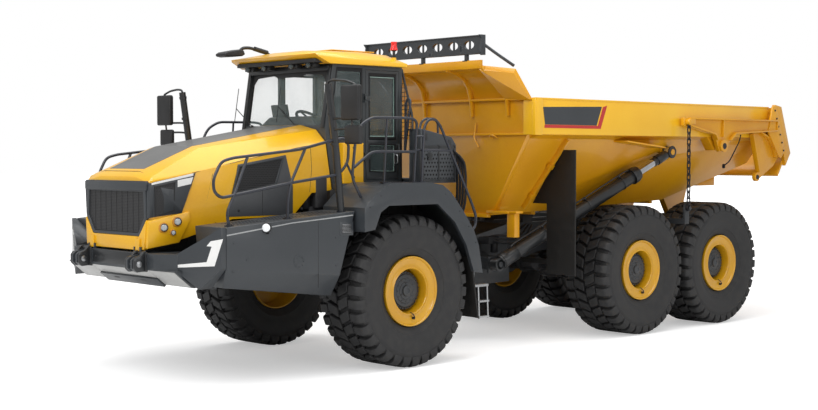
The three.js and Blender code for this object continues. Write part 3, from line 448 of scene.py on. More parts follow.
def tubeIn(bm, points, radius, sides=10, bend=0.06):
    # a round tube through points, with its corners eased
    path = [Vector((x + axleX, y, z)) for x, y, z in points]
    eased = [path[0]]
    for before, corner, after in zip(path, path[1:], path[2:]):
        reach = min(bend, (before - corner).length * 0.45, (after - corner).length * 0.45)
        start = corner + (before - corner).normalized() * reach
        end = corner + (after - corner).normalized() * reach
        eased += [start.lerp(corner, t).lerp(corner.lerp(end, t), t) for t in (0, 0.25, 0.5, 0.75, 1)]
    eased.append(path[-1])
    curve = bpy.data.curves.new("tubePath", "CURVE")
    curve.dimensions = "3D"
    curve.bevel_depth = radius
    curve.bevel_resolution = max(0, sides // 4 - 1)
    curve.use_fill_caps = True
    spline = curve.splines.new("POLY")
    spline.points.add(len(eased) - 1)
    for point, place in zip(spline.points, eased):
        point.co = (*place, 1)
    holder = bpy.data.objects.new("tubePath", curve)
    bpy.context.scene.collection.objects.link(holder)
    mesh = bpy.data.meshes.new_from_object(holder)
    bm.from_mesh(mesh)
    bpy.data.objects.remove(holder)
    bpy.data.curves.remove(curve)
    bpy.data.meshes.remove(mesh)


def mirrorAll(bm):
    # the same again on the other side of the truck
    geom = bm.verts[:] + bm.edges[:] + bm.faces[:]
    made = bmesh.ops.duplicate(bm, geom=geom)["geom"]
    verts = [g for g in made if isinstance(g, bmesh.types.BMVert)]
    faces = [g for g in made if isinstance(g, bmesh.types.BMFace)]
    bmesh.ops.scale(bm, vec=(1, -1, 1), verts=verts)
    bmesh.ops.reverse_faces(bm, faces=faces)


def softened(node, body, finish, slot, bevel, segments=2):
    # a CAD node's own shape with its sharp edges rounded off
    bm = bmesh.new()
    bm.from_mesh(cadNodes[node].data)
    bmesh.ops.remove_doubles(bm, verts=bm.verts, dist=making["nodeGap"])
    bmesh.ops.dissolve_limit(bm, angle_limit=math.radians(making["flatWithin"]), verts=bm.verts, edges=bm.edges)
    return finishPiece(node + "_skin", bm, body, finish, slot, bevel, segments, replaces=(node,), recalc=False)


# the nodes that show as they are; every other one has a piece in its place
nodeFinish = {
    "front_axle": framePaint, "rear_axles": framePaint, "engine_block": ironFinish, "step_ladder": bareSteel,
    "cab_glass": paneGlass, "door_glass": cabGlass, "hoist_rod_left": chromeRod, "hoist_rod_right": chromeRod,
    "steer_rod_left": chromeRod, "steer_rod_right": chromeRod,
}
for node, finish in nodeFinish.items():
    for slot in cadNodes[node].material_slots:
        slot.material = finish.material
print("nodes painted")


# tyres and wheels

tyre = {
    "outerRadius": 0.925, "pitches": 34, "sideStep": 0.5, "lugBevel": 0.006,
    "shoulder": [(0.196, 0.860), (0.200, 0.925), (0.300, 0.922), (0.340, 0.908), (0.372, 0.868), (0.3745, 0.800),
                 (0.362, 0.790), (0.345, 0.845)],
    "centreBlock": [(0.014, 0.870), (0.014, 0.925), (0.180, 0.925), (0.180, 0.862)],
    "section": [(0.428, 0.255), (0.440, 0.290), (0.470, 0.300), (0.500, 0.322), (0.520, 0.330), (0.524, 0.337),
                (0.536, 0.339), (0.545, 0.338), (0.600, 0.358), (0.690, 0.3735), (0.740, 0.3735), (0.748, 0.3748),
                (0.756, 0.3748), (0.764, 0.372), (0.810, 0.362), (0.850, 0.345), (0.866, 0.300), (0.874, 0.200),
                (0.878, 0.0)],
}


def treadLugs(bm, side):
    # one pitch of tread at the top of the tyre, copied all the way round
    before = set(bm.verts)
    for label, halfLong, lean, shift in (("shoulder", 0.052, 0.10, 0.0), ("centreBlock", 0.060, -0.42, 0.012)):
        face = bm.faces.new([bm.verts.new((-halfLong, y, r)) for y, r in tyre[label]])
        grown = bmesh.ops.extrude_face_region(bm, geom=[face])["geom"]
        raised = [g for g in grown if isinstance(g, bmesh.types.BMVert)]
        bmesh.ops.translate(bm, vec=(2 * halfLong, 0, 0), verts=raised)
        block = list(face.verts) + raised
        for vert in block:
            x, y, r = vert.co
            flare = 1 + 0.16 * (tyre["outerRadius"] - r) / 0.06  # a lug widens towards its foot
            vert.co.x = x * min(flare, 1.35) + shift + lean * (y - 0.10)
    made = [v for v in bm.verts if v not in before]
    faces = {f for v in made for f in v.link_faces}
    bmesh.ops.recalc_face_normals(bm, faces=list(faces))
    edges = {e for v in made for e in v.link_edges}
    bmesh.ops.bevel(bm, geom=[e for e in edges if e.calc_face_angle() > 0.5], offset=tyre["lugBevel"],
                    segments=1, profile=0.5, affect="EDGES", material=-1, clamp_overlap=True)
    made = [v for v in bm.verts if v not in before]
    for vert in made:
        angle = vert.co.x / tyre["outerRadius"]
        if side < 0:
            angle += tyre["sideStep"] * 2 * math.pi / tyre["pitches"]
        vert.co = (vert.co.z * math.sin(angle), vert.co.y * side, vert.co.z * math.cos(angle))
    faces = list({f for v in made for f in v.link_faces})
    if side < 0:
        bmesh.ops.reverse_faces(bm, faces=faces)
    edges = list({e for v in made for e in v.link_edges})
    steps = tyre["pitches"] - 1
    bmesh.ops.spin(bm, geom=made + edges + faces, cent=(0, 0, 0), axis=(0, 1, 0),
                   angle=2 * math.pi * steps / tyre["pitches"], steps=steps, use_duplicate=True)


def makeTyre(corner):
    centre = middleOf(corner + "_tyre")
    facing = 1 if centre.y > 0 else -1
    bm = bmesh.new()
    half = tyre["section"]
    profile = half + [(r, -y) for r, y in half[-2::-1]] + half[:1]
    spunIn(bm, profile, (0, 0, 0), "Y", 96)
    bmesh.ops.translate(bm, vec=(-axleX, 0, 0), verts=bm.verts)
    bmesh.ops.recalc_face_normals(bm, faces=bm.faces)
    treadLugs(bm, 1)
    treadLugs(bm, -1)
    if facing < 0:
        bmesh.ops.rotate(bm, cent=(0, 0, 0), matrix=Matrix.Rotation(math.pi, 3, "Z"), verts=bm.verts)
    bmesh.ops.translate(bm, vec=centre, verts=bm.verts)
    finishPiece(corner + "_tread", bm, corner + "_wheel", tyreRubber, "tyre_rubber",
                smooth=38, replaces=(corner + "_tyre",), recalc=False)


wheel = {
    "dish": [(0.424, -0.290), (0.424, 0.296), (0.426, 0.306), (0.424, 0.314), (0.416, 0.317), (0.408, 0.313),
             (0.402, 0.302), (0.396, 0.292), (0.372, 0.284), (0.340, 0.276), (0.312, 0.274), (0.296, 0.281),
             (0.286, 0.290), (0.277, 0.292), (0.270, 0.284), (0.266, 0.262), (0.262, 0.060), (0.215, 0.048),
             (0.215, 0.010), (0.370, -0.010), (0.396, -0.060), (0.396, -0.270), (0.412, -0.292), (0.424, -0.290)],
    "hub": [(0.0, 0.020), (0.226, 0.020), (0.232, 0.050), (0.232, 0.176), (0.228, 0.184), (0.206, 0.186),
            (0.200, 0.190), (0.196, 0.204), (0.168, 0.208), (0.162, 0.203), (0.156, 0.203), (0.150, 0.209),
            (0.118, 0.211), (0.112, 0.206), (0.106, 0.206), (0.100, 0.213), (0.070, 0.216), (0.064, 0.236),
            (0.052, 0.242), (0.030, 0.243), (0.026, 0.236), (0.0, 0.236)],
    # bolt rings: count, ring radius, height off the middle, bolt radius, bolt length
    "rings": [(30, 0.217, 0.190, 0.0085, 0.016), (12, 0.134, 0.213, 0.007, 0.010), (3, 0.086, 0.217, 0.011, 0.012),
              (24, 0.246, 0.058, 0.011, 0.022)],
    "stem": [(-0.05, 0.290, -0.33), (-0.05, 0.318, -0.33), (-0.03, 0.314, -0.285), (-0.02, 0.270, -0.262)],
    "stemRadius": 0.007, "stemFoot": 0.016,
}


def makeWheel(corner):
    centre = middleOf(corner + "_tyre")
    out = 1 if centre.y > 0 else -1
    place = (centre.x - axleX, centre.y, centre.z)
    bm = bmesh.new()
    spunIn(bm, [(r, y * out) for r, y in wheel["dish"]], place, "Y", 96)
    finishPiece(corner + "_dish", bm, corner + "_wheel", wheelPaint, "yellow_paint", smooth=40,
                replaces=(corner + "_rim",))
    bm = bmesh.new()
    spunIn(bm, [(r, y * out) for r, y in wheel["hub"]], place, "Y", 64)
    for count, reach, along, radius, height in wheel["rings"]:
        for i in range(count):
            angle = 2 * math.pi * i / count
            spot = (place[0] + reach * math.sin(angle), place[1] + along * out, place[2] + reach * math.cos(angle))
            drumIn(bm, spot, (0, 1, 0), radius, height, 6)
    finishPiece(corner + "_hub", bm, corner + "_wheel", hubPaint, "dark_grey_paint", smooth=30)
    bm = bmesh.new()
    stem = [(place[0] + x, place[1] + y * out, place[2] + z) for x, y, z in wheel["stem"]]
    tubeIn(bm, stem, wheel["stemRadius"], 8, 0.02)
    drumIn(bm, stem[0], (0, 1, 0), wheel["stemFoot"], 0.03, 12)
    finishPiece(corner + "_valve", bm, corner + "_wheel", darkSteel, "chain_steel")


corners = [axle + "_" + side for axle in ("front", "mid", "rear") for side in ("left", "right")]
for corner in corners:
    makeTyre(corner)
    makeWheel(corner)
print("tyres and wheels made")


# small builders for the detail pieces

def ringIn(bm, outer, inner, push):
    # a flat frame between two outlines of equal count, given thickness by push
    rows = [[bm.verts.new((x + axleX, y, z)) for x, y, z in line] for line in (outer, inner)]
    count = len(outer)
    faces = [bm.faces.new((rows[0][i], rows[0][(i + 1) % count], rows[1][(i + 1) % count], rows[1][i]))
             for i in range(count)]
    grown = bmesh.ops.extrude_face_region(bm, geom=faces)["geom"]
    raised = [g for g in grown if isinstance(g, bmesh.types.BMVert)]
    bmesh.ops.translate(bm, vec=push, verts=raised)


def pushedIn(bm, points, push):
    # a flat outline given thickness by push
    face = bm.faces.new([bm.verts.new((x + axleX, y, z)) for x, y, z in points])
    grown = bmesh.ops.extrude_face_region(bm, geom=[face])["geom"]
    raised = [g for g in grown if isinstance(g, bmesh.types.BMVert)]
    bmesh.ops.translate(bm, vec=push, verts=raised)


def slabIn(bm, outline, y, thick):
    # an outline of x z points in a plane along the truck, given thickness outwards
    pushedIn(bm, [(x, y, z) for x, z in outline], (0, thick, 0))


def drawnIn(points, centre, shrink):
    # the same outline drawn in towards a centre
    return [tuple(c + (p - c) * shrink for p, c in zip(point, centre)) for point in points]


def lampIn(bodyBm, lensBm, centre, direction, radius, depth=0.03):
    # a round lamp: housing with a lip in one mesh, domed lens in the other
    aim = Vector(direction).normalized()
    base = Vector(centre)
    drumIn(bodyBm, base, aim, radius, depth, 24, radius * 1.04)
    front = base + aim * depth * 0.5
    for share, lift, lens in ((1.02, 0.004, False), (0.84, 0.006, True)):
        target = lensBm if lens else bodyBm
        drumIn(target, front + aim * lift * 0.5, aim, radius * share, lift, 24, radius * share * 0.93)
    dome = bmesh.ops.create_uvsphere(lensBm, u_segments=20, v_segments=8, radius=radius * 0.76)["verts"]
    bmesh.ops.scale(lensBm, vec=(1, 1, 0.22), verts=dome)
    turn = Vector((0, 0, 1)).rotation_difference(aim).to_matrix()
    bmesh.ops.rotate(lensBm, cent=(0, 0, 0), matrix=turn, verts=dome)
    spot = front + aim * 0.006
    bmesh.ops.translate(lensBm, vec=(spot.x + axleX, spot.y, spot.z), verts=dome)


# hood and nose

hood = {"bevel": 0.016, "foldX": 2.32, "noseRun": 0.71, "backRun": 1.73}
softened("hood_cover", "hood", yellowPaint, "yellow_paint", hood["bevel"], 3)
for side in ("left", "right"):
    softened("headlamp_" + side, "hood", greyPaint, "lamp_cover", 0.003, 2)


def hoodSideY(x, z):
    # how far out the hood's flank lies
    front = 0.640 + (z - 1.545) * 0.067
    middle = 0.770 + (z - 1.600) * 0.0122
    rear = 0.840 + (z - 1.800) * 0.0053
    if x > hood["foldX"]:
        return middle + (front - middle) * (x - hood["foldX"]) / hood["noseRun"]
    return middle + (rear - middle) * (hood["foldX"] - x) / hood["backRun"]


def hoodTop(x):
    foldZ, noseZ, backZ = 2.672, 2.380, 2.965
    if x > hood["foldX"]:
        return foldZ + (x - hood["foldX"]) * (noseZ - foldZ) / hood["noseRun"]
    return foldZ + (hood["foldX"] - x) * (backZ - foldZ) / hood["backRun"]


def flank(points, lift=0.0):
    return [(x, hoodSideY(x, z) + lift, z) for x, z in points]


grille = {
    "face": 3.076, "depth": 0.030, "panel": 0.016, "wrap": 0.027, "sideWrap": 0.046,
    "mesh": [(-0.585, 2.165), (0.585, 2.165), (0.60, 1.875), (0.475, 1.70), (-0.475, 1.70), (-0.60, 1.875)],
    "outer": [(-0.635, 2.19), (0.635, 2.19), (0.648, 1.862), (0.505, 1.668), (-0.505, 1.668), (-0.648, 1.862)],
    "wrapFront": [(0.630, 2.262), (0.700, 2.262), (0.668, 1.880), (0.640, 1.862)],
    "wrapSide": [(3.087, 2.262), (3.020, 2.262), (3.020, 1.880), (3.087, 1.870)],
    "brow": [(3.05, 3.108, -0.662, 0.662, 2.178, 2.272), (3.05, 3.100, -0.655, 0.655, 2.268, 2.284)],
    "ribs": 9, "ribGap": 0.117, "ribHalf": 0.003, "ribFront": 3.0835, "ribLow": 1.705, "ribHigh": 2.165,
}


def frontFace(points, lift=0.0):
    return [(grille["face"] + lift, y, z) for y, z in points]


bm = bmesh.new()
pushedIn(bm, frontFace(grille["wrapFront"], -0.02), (grille["wrap"], 0, 0))
pushedIn(bm, flank(grille["wrapSide"], -0.03), (0, grille["sideWrap"], 0))
mirrorAll(bm)
ringIn(bm, frontFace(grille["outer"], -0.01), frontFace(grille["mesh"], -0.01), (grille["depth"], 0, 0))
boxesIn(bm, grille["brow"])
finishPiece("grilleFrame", bm, "hood", greyPaint, "trim_plastic", 0.006, 3)
bm = bmesh.new()
wideMesh = [(y * 1.03, z + (0.008 if z > 2 else -0.010)) for y, z in grille["mesh"]]
pushedIn(bm, frontFace(wideMesh, -0.012), (grille["panel"], 0, 0))
finishPiece("grillePanel", bm, "hood", grilleMesh, "trim_plastic", replaces=("hood_grille",))
bm = bmesh.new()
for i in range(grille["ribs"]):
    y = (i - grille["ribs"] // 2) * grille["ribGap"]
    boxIn(bm, grille["face"], grille["ribFront"], y - grille["ribHalf"], y + grille["ribHalf"], grille["ribLow"],
          grille["ribHigh"])
finishPiece("grilleRibs", bm, "hood", blackPlastic, "trim_plastic", 0.0015, 1)

chin = {
    "corner": [(0.472, 1.664), (0.498, 1.664), (0.655, 1.855), (0.606, 1.520), (0.472, 1.512)], "depth": 0.046,
    "bar": (3.05, 3.104, -0.466, 0.466, 1.512, 1.664),
}
bm = bmesh.new()
pushedIn(bm, frontFace(chin["corner"], -0.02), (chin["depth"], 0, 0))
mirrorAll(bm)
boxIn(bm, *chin["bar"])
finishPiece("noseChin", bm, "hood", yellowPaint, "yellow_paint", 0.006, 3)

pod = {
    "outline": [(3.092, 1.842), (2.60, 1.938), (2.588, 1.835), (2.715, 1.590), (3.090, 1.530)], "depth": 0.05,
    # each lamp: place along and up, and its radius
    "lamps": [(2.905, 1.765, 0.044), (2.745, 1.828, 0.044), (2.792, 1.705, 0.028)],
    "lampOut": 0.034, "lampAim": (0.50, 0.86, 0), "lampDeep": 0.022, "bowlAim": (0.22, 0.97, 0), "bowlDeep": 0.012,
    "bowlFoot": 1.42, "bowlRim": 1.25,
}
bm = bmesh.new()
pushedIn(bm, flank(pod["outline"], -0.02), (0, pod["depth"], 0))
mirrorAll(bm)
finishPiece("lampPods", bm, "hood", yellowPaint, "yellow_paint", 0.010, 3)
housings, lenses, bowls = bmesh.new(), bmesh.new(), bmesh.new()
for x, z, size in pod["lamps"]:
    y = hoodSideY(x, z) + pod["lampOut"]
    lampIn(housings, lenses, (x, y, z), pod["lampAim"], size, pod["lampDeep"])
    drumIn(bowls, (x + 0.006, y - 0.004, z), pod["bowlAim"], size * pod["bowlFoot"], pod["bowlDeep"], 28,
           size * pod["bowlRim"])
for each in (housings, lenses, bowls):
    mirrorAll(each)
# the bowls take the darkened yellow: painted shade in the lamp recesses
finishPiece("noseLampBowls", bowls, "hood", bowlShadePaint, "yellow_paint", 0.002, 2)
finishPiece("noseLampBodies", housings, "hood", blackPlastic, "lamp_cover", 0.001, 1)
finishPiece("noseLampLenses", lenses, "hood", lampGlass, "tinted_glass")

flash = {
    "long": [(3.055, 2.262), (2.552, 2.366), (2.552, 2.338), (3.055, 2.240)],
    "short": [(2.742, 2.290), (2.552, 2.324), (2.580, 2.246), (2.742, 2.214)], "lift": 0.012,
    "longThick": 0.007, "shortThick": 0.006,
    "mesh": [(3.005, 2.212), (2.786, 2.256), (2.790, 1.960), (2.994, 1.900)],
    "meshEdge": [(3.020, 2.226), (2.772, 2.274), (2.776, 1.946), (3.010, 1.882)],
    "meshLift": 0.010, "meshDeep": 0.0078, "edgeDeep": 0.0125,
}
bm = bmesh.new()
pushedIn(bm, flank(flash["long"], flash["lift"]), (0, flash["longThick"], 0))
pushedIn(bm, flank(flash["short"], flash["lift"]), (0, flash["shortThick"], 0))
mirrorAll(bm)
finishPiece("noseFlashes", bm, "hood", whitePaint, "yellow_paint", 0.0015, 1)
bm = bmesh.new()
pushedIn(bm, flank(flash["mesh"], flash["meshLift"]), (0, flash["meshDeep"], 0))
mirrorAll(bm)
finishPiece("noseSideMesh", bm, "hood", grilleMesh, "trim_plastic")
bm = bmesh.new()
ringIn(bm, flank(flash["meshEdge"], flash["meshLift"]), flank(flash["mesh"], flash["meshLift"]),
       (0, flash["edgeDeep"], 0))
mirrorAll(bm)
finishPiece("noseSideFrame", bm, "hood", blackPlastic, "trim_plastic", 0.002, 2)

stripe = {"widths": [(2.945, 0.372), (2.32, 0.388), (0.76, 0.392)], "sink": 0.004, "thick": 0.0065}
bm = bmesh.new()
for (x0, w0), (x1, w1) in zip(stripe["widths"], stripe["widths"][1:]):
    row = [(x0, -w0, hoodTop(x0)), (x0, w0, hoodTop(x0)), (x1, w1, hoodTop(x1)), (x1, -w1, hoodTop(x1))]
    pushedIn(bm, [(x, y, z - stripe["sink"]) for x, y, z in row], (0, 0, stripe["thick"]))
finishPiece("hoodStripe", bm, "hood", stripePaint, "dark_grey_paint")

vent = {
    "panel": [(1.96, 2.462), (1.285, 2.572), (1.18, 2.20), (1.18, 1.862), (2.105, 1.862), (2.03, 2.10)],
    "mesh": [(1.940, 2.436), (1.345, 2.528), (1.445, 2.236), (2.022, 2.140)],
    "frame": [(1.957, 2.450), (1.310, 2.549), (1.424, 2.219), (2.048, 2.118)],
    "panelDeep": 0.016, "meshDeep": 0.006, "frameDeep": 0.014,
}
bm = bmesh.new()
pushedIn(bm, flank(vent["panel"], -0.01), (0, vent["panelDeep"], 0))
mirrorAll(bm)
finishPiece("hoodSidePanels", bm, "hood", panelPaint, "dark_grey_paint", 0.003, 2)
bm = bmesh.new()
pushedIn(bm, flank(vent["mesh"], 0.004), (0, vent["meshDeep"], 0))
mirrorAll(bm)
finishPiece("hoodVents", bm, "hood", ventMesh, "trim_plastic")
bm = bmesh.new()
ringIn(bm, flank(vent["frame"], 0.002), flank(vent["mesh"], 0.002), (0, vent["frameDeep"], 0))
mirrorAll(bm)
finishPiece("hoodVentFrames", bm, "hood", greyPaint, "dark_grey_paint", 0.003, 2)

seam = {
    "radius": 0.0032, "frontRadius": 0.003,
    # every side seam with its lift off the flank
    "sides": [([(2.545, 2.380), (2.598, 1.945), (2.600, 1.830), (2.728, 1.600)], 0.0),
              ([(2.53, 2.376), (1.85, 2.520), (1.07, 2.666), (0.72, 2.716)], 0.001),
              ([(0.92, 2.690), (0.90, 2.40), (0.93, 2.125)], 0.0),
              ([(1.62, 2.21), (1.62, 1.87)], 0.007),
              ([(2.30, 2.36), (2.42, 1.86), (2.25, 1.80)], 0.0)],
    "front": [(3.012, -0.64, 2.330), (3.012, -0.38, 2.390), (3.012, 0.38, 2.390), (3.012, 0.64, 2.330)],
}
bm = bmesh.new()
for line, lift in seam["sides"]:
    tubeIn(bm, flank(line, lift), seam["radius"], 6, 0.02)
mirrorAll(bm)
tubeIn(bm, seam["front"], seam["frontRadius"], 6, 0.02)
finishPiece("hoodSeams", bm, "hood", blackPlastic, "trim_plastic")

catch = {
    "knob": (3.06, 0.47, 1.497), "radius": 0.030, "plate": (3.02, 3.09, 0.44, 0.50, 1.490, 1.506),
    "stud": 0.016, "studX": (1.05, 1.95), "studZ": 1.93,
}
bm = bmesh.new()
drumIn(bm, catch["knob"], (0, 0, 1), catch["radius"], 0.030, 20)
boxIn(bm, *catch["plate"])
for x in catch["studX"]:
    drumIn(bm, (x, hoodSideY(x, 1.9) + 0.004, catch["studZ"]), (0, 1, 0), catch["stud"], 0.010, 16)
mirrorAll(bm)
finishPiece("hoodCatches", bm, "hood", blackPlastic, "trim_plastic", 0.003, 2)
print("hood made")


# bumper and side boxes

softened("bumper", "front_unit", greyPaint, "dark_grey_paint", 0.008, 3)
softened("side_boxes", "front_unit", boxPaint, "dark_grey_paint", 0.014, 4)
softened("fender_deck", "front_unit", greyPaint, "dark_grey_paint", 0.010, 3)
softened("side_cabinet", "front_unit", yellowPaint, "yellow_paint", 0.012, 4)

bumperHook = {
    "outline": [(2.751, 1.620, 1.672), (2.794, 1.523, 1.377), (3.042, 0.963, 1.338), (3.029, 0.991, 1.366),
                (2.834, 1.432, 1.418), (2.808, 1.490, 1.587), (2.834, 1.433, 1.591), (2.813, 1.481, 1.645)],
    "out": Vector((0.9145, 0.4045, 0)), "sink": 0.003, "thick": 0.006,
}
bm = bmesh.new()
pushedIn(bm, [tuple(Vector(p) - bumperHook["out"] * bumperHook["sink"]) for p in bumperHook["outline"]],
         bumperHook["out"] * bumperHook["thick"])
mirrorAll(bm)
finishPiece("bumperFlash", bm, "front_unit", whitePaint, "dark_grey_paint", 0.001, 1)

tow = {
    "ear": [(3.130, 1.290), (3.245, 1.282), (3.284, 1.318), (3.286, 1.412), (3.262, 1.446), (3.205, 1.466),
            (3.170, 1.510), (3.130, 1.520)],
    "earY": (0.517, 0.683), "earThick": 0.040, "backPlate": (3.120, 3.150, 0.47, 0.72, 1.285, 1.500),
    "pin": (3.225, 0.600, 1.372), "head": 0.034, "headLong": 0.225, "shank": 0.026, "shankLong": 0.238,
    "middlePlate": (3.120, 3.142, -0.44, 0.44, 1.335, 1.478), "bolts": [(3.144, -0.36, 1.405), (3.144, 0.36, 1.405)],
}
bm = bmesh.new()
for y in tow["earY"]:
    slabIn(bm, tow["ear"], y - tow["earThick"] / 2, tow["earThick"])
boxIn(bm, *tow["backPlate"])
mirrorAll(bm)
finishPiece("towEars", bm, "front_unit", blackPaint, "dark_grey_paint", 0.008, 3)
bm = bmesh.new()
drumIn(bm, tow["pin"], (0, 1, 0), tow["head"], tow["headLong"], 24)
drumIn(bm, tow["pin"], (0, 1, 0), tow["shank"], tow["shankLong"], 24)
mirrorAll(bm)
finishPiece("towPins", bm, "front_unit", bareSteel, "rod_chrome", 0.003, 2)
bm = bmesh.new()
boxIn(bm, *tow["middlePlate"])
drumsIn(bm, tow["bolts"], (1, 0, 0), 0.012, 0.012)
finishPiece("bumperPlate", bm, "front_unit", blackPaint, "dark_grey_paint", 0.004, 2)

skid = {
    "highX": 3.052, "highZ": 1.3035, "lowX": 2.826, "lowZ": 1.1198, "out": Vector((0.631, 0, -0.776)),
    "plates": ((-1.125, -0.60), (-0.60, 0.60), (0.60, 1.125)), "gap": 0.004, "slotY": (-0.28, 0.30), "slotHalf": 0.05,
    # how far down the slope each patch runs
    "plateSpan": (0.04, 0.98), "panelSpan": (0.52, 1.03), "slotSpan": (0.66, 0.74),
}


def onSlope(share, y, lift=0.0):
    # share 0 at the bumper, 1 at the low edge
    x = skid["highX"] + (skid["lowX"] - skid["highX"]) * share
    z = skid["highZ"] + (skid["lowZ"] - skid["highZ"]) * share
    return (x + skid["out"].x * lift, y, z + skid["out"].z * lift)


def slopePatch(bm, shares, y0, y1, lift, thick):
    corners = ((shares[0], y0), (shares[0], y1), (shares[1], y1), (shares[1], y0))
    pushedIn(bm, [onSlope(share, y, lift) for share, y in corners], skid["out"] * thick)


bm = bmesh.new()
for y0, y1 in skid["plates"]:
    slopePatch(bm, skid["plateSpan"], y0 + skid["gap"], y1 - skid["gap"], -0.004, 0.010)
finishPiece("skidPlates", bm, "front_unit", skidPaint, "dark_grey_paint", 0.002, 2)
bm = bmesh.new()
slopePatch(bm, skid["panelSpan"], -0.60, 0.62, 0.0, 0.030)
finishPiece("skidPanel", bm, "front_unit", greyPaint, "dark_grey_paint", 0.004, 2)
bm = bmesh.new()
for y in skid["slotY"]:
    slopePatch(bm, skid["slotSpan"], y - skid["slotHalf"], y + skid["slotHalf"], 0.028, 0.004)
finishPiece("skidSlots", bm, "front_unit", blackPlastic, "trim_plastic")

sideBox = {
    # edge: a pale strip just under the lid's top edge, a painted highlight along its rounded edge
    "edge": [(2.688, 1.706), (1.80, 1.812), (0.905, 1.872)], "edgeY": 1.5975, "highlightHalf": 0.007, "edgeDeep": 0.0055,
    "cap": (1.70, 1.600, 1.373), "capRadius": 0.078, "capBolts": 8, "boltRing": 0.062,
    "stepPlate": (0.902, 1.100, 1.594, 1.603, 1.640, 1.800), "plug": (2.42, 1.601, 1.43),
    "screws": [(1.16, 1.601, 1.30), (1.16, 1.601, 1.62), (2.60, 1.601, 1.30), (2.60, 1.601, 1.62)],
    "step": [(0.930, 1.075, 1.5975, 1.6045, 1.665, 1.775), (1.42, 1.425, 1.594, 1.6015, 1.06, 1.845)],
    "teeth": 7, "toothGap": 0.0155, "toothLow": 1.672, "toothTall": 0.006,
    "lampFoot": (2.120, 2.170, 1.560, 1.600, 1.700, 1.800), "lamp": (2.165, 1.612, 1.772),
    "lampAim": (0.72, 0.69, 0.05), "lampRadius": 0.056,
    "treadX": (1.25, 1.75, 2.25), "treadY": 1.30, "barGap": 0.045, "rowGap": 0.075, "frontX": 2.695,
    "frontZ": 1.790, "backX": 0.870, "backZ": 1.920,
}


def boxTop(x):
    # height of the side box's sloping lid
    run = (x - sideBox["backX"]) / (sideBox["frontX"] - sideBox["backX"])
    return sideBox["backZ"] + (sideBox["frontZ"] - sideBox["backZ"]) * run


# the painted highlight: a pale strip along each side box's rounded top edge
bm = bmesh.new()
for (x0, z0), (x1, z1) in zip(sideBox["edge"], sideBox["edge"][1:]):
    half = sideBox["highlightHalf"]
    slabIn(bm, [(x0, z0 - half), (x1, z1 - half), (x1, z1 + half), (x0, z0 + half)], sideBox["edgeY"],
           sideBox["edgeDeep"])
mirrorAll(bm)
finishPiece("boxEdgeHighlight", bm, "front_unit", highlightGrey, "dark_grey_paint", 0.001, 1)

bm = bmesh.new()
drumIn(bm, sideBox["cap"], (0, 1, 0), sideBox["capRadius"], 0.006, 40)
for i in range(sideBox["capBolts"]):
    angle = 2 * math.pi * i / sideBox["capBolts"]
    spot = (sideBox["cap"][0] + sideBox["boltRing"] * math.cos(angle), 1.604,
            sideBox["cap"][2] + sideBox["boltRing"] * math.sin(angle))
    drumIn(bm, spot, (0, 1, 0), 0.0075, 0.010, 6)
boxIn(bm, *sideBox["stepPlate"])
drumIn(bm, sideBox["plug"], (0, 1, 0), 0.013, 0.008, 20)
drumsIn(bm, sideBox["screws"], (0, 1, 0), 0.010, 0.008)
mirrorAll(bm)
finishPiece("boxFittings", bm, "front_unit", boxPaint, "dark_grey_paint", 0.002, 2)
bm = bmesh.new()
boxesIn(bm, sideBox["step"])
mirrorAll(bm)
finishPiece("boxSteps", bm, "front_unit", blackPlastic, "trim_plastic", 0.002, 2)
bm = bmesh.new()
for i in range(sideBox["teeth"]):
    z = sideBox["toothLow"] + i * sideBox["toothGap"]
    boxIn(bm, 0.935, 1.070, 1.604, 1.608, z, z + sideBox["toothTall"])
mirrorAll(bm)
finishPiece("stepTeeth", bm, "front_unit", bareSteel, "bare_steel", 0.001, 1)

housings, lenses = bmesh.new(), bmesh.new()
lampIn(housings, lenses, sideBox["lamp"], sideBox["lampAim"], sideBox["lampRadius"], 0.050)
boxIn(housings, *sideBox["lampFoot"])
mirrorAll(housings)
mirrorAll(lenses)
finishPiece("cornerLampBodies", housings, "front_unit", blackPlastic, "trim_plastic", 0.003, 2)
finishPiece("cornerLampLenses", lenses, "front_unit", whiteLens, "lamp_cover")

bm = bmesh.new()
for middle in sideBox["treadX"]:
    for i in range(9):
        for j in range(5):
            x, y = middle + (i - 4) * sideBox["barGap"], sideBox["treadY"] + (j - 2) * sideBox["rowGap"]
            boxIn(bm, x - 0.016, x + 0.016, y - 0.003, y + 0.003, boxTop(x) - 0.002, boxTop(x) + 0.003)
mirrorAll(bm)
finishPiece("treadBars", bm, "front_unit", darkSteel, "dark_grey_paint")
print("bumper and side boxes made")


# fenders

fender = {
    "treadRows": 4, "treadCols": 11, "rowGap": 0.11, "colGap": 0.055, "corner": (-0.10, 1.08), "top": 2.238,
    "faceY": 1.700, "rimY": 1.7495, "lip": (0.842, 0.850, 1.02, 1.66, 1.700, 1.935),
    "bolts": [(-0.985, 1.50), (-0.86, 1.705), (-0.70, 1.90), (-0.46, 2.115), (0.60, 2.115), (0.77, 1.985)],
}
bm = bmesh.new()
for i in range(fender["treadRows"]):
    for j in range(fender["treadCols"]):
        x, y = fender["corner"][0] + i * fender["rowGap"], fender["corner"][1] + j * fender["colGap"]
        boxIn(bm, x - 0.030, x + 0.030, y - 0.004, y + 0.004, fender["top"], fender["top"] + 0.006)
mirrorAll(bm)
finishPiece("deckTread", bm, "front_unit", darkSteel, "dark_grey_paint", 0.001, 1)
bm = bmesh.new()
for x, z in fender["bolts"]:
    drumIn(bm, (x, fender["faceY"], z), (0, 1, 0), 0.010, 0.012, 6)
    drumIn(bm, (x, fender["rimY"], z - 0.02), (0, 1, 0), 0.009, 0.008, 6)
boxIn(bm, *fender["lip"])
mirrorAll(bm)
finishPiece("fenderBolts", bm, "front_unit", darkSteel, "dark_grey_paint", 0.001, 1)
print("fenders made")


# cab

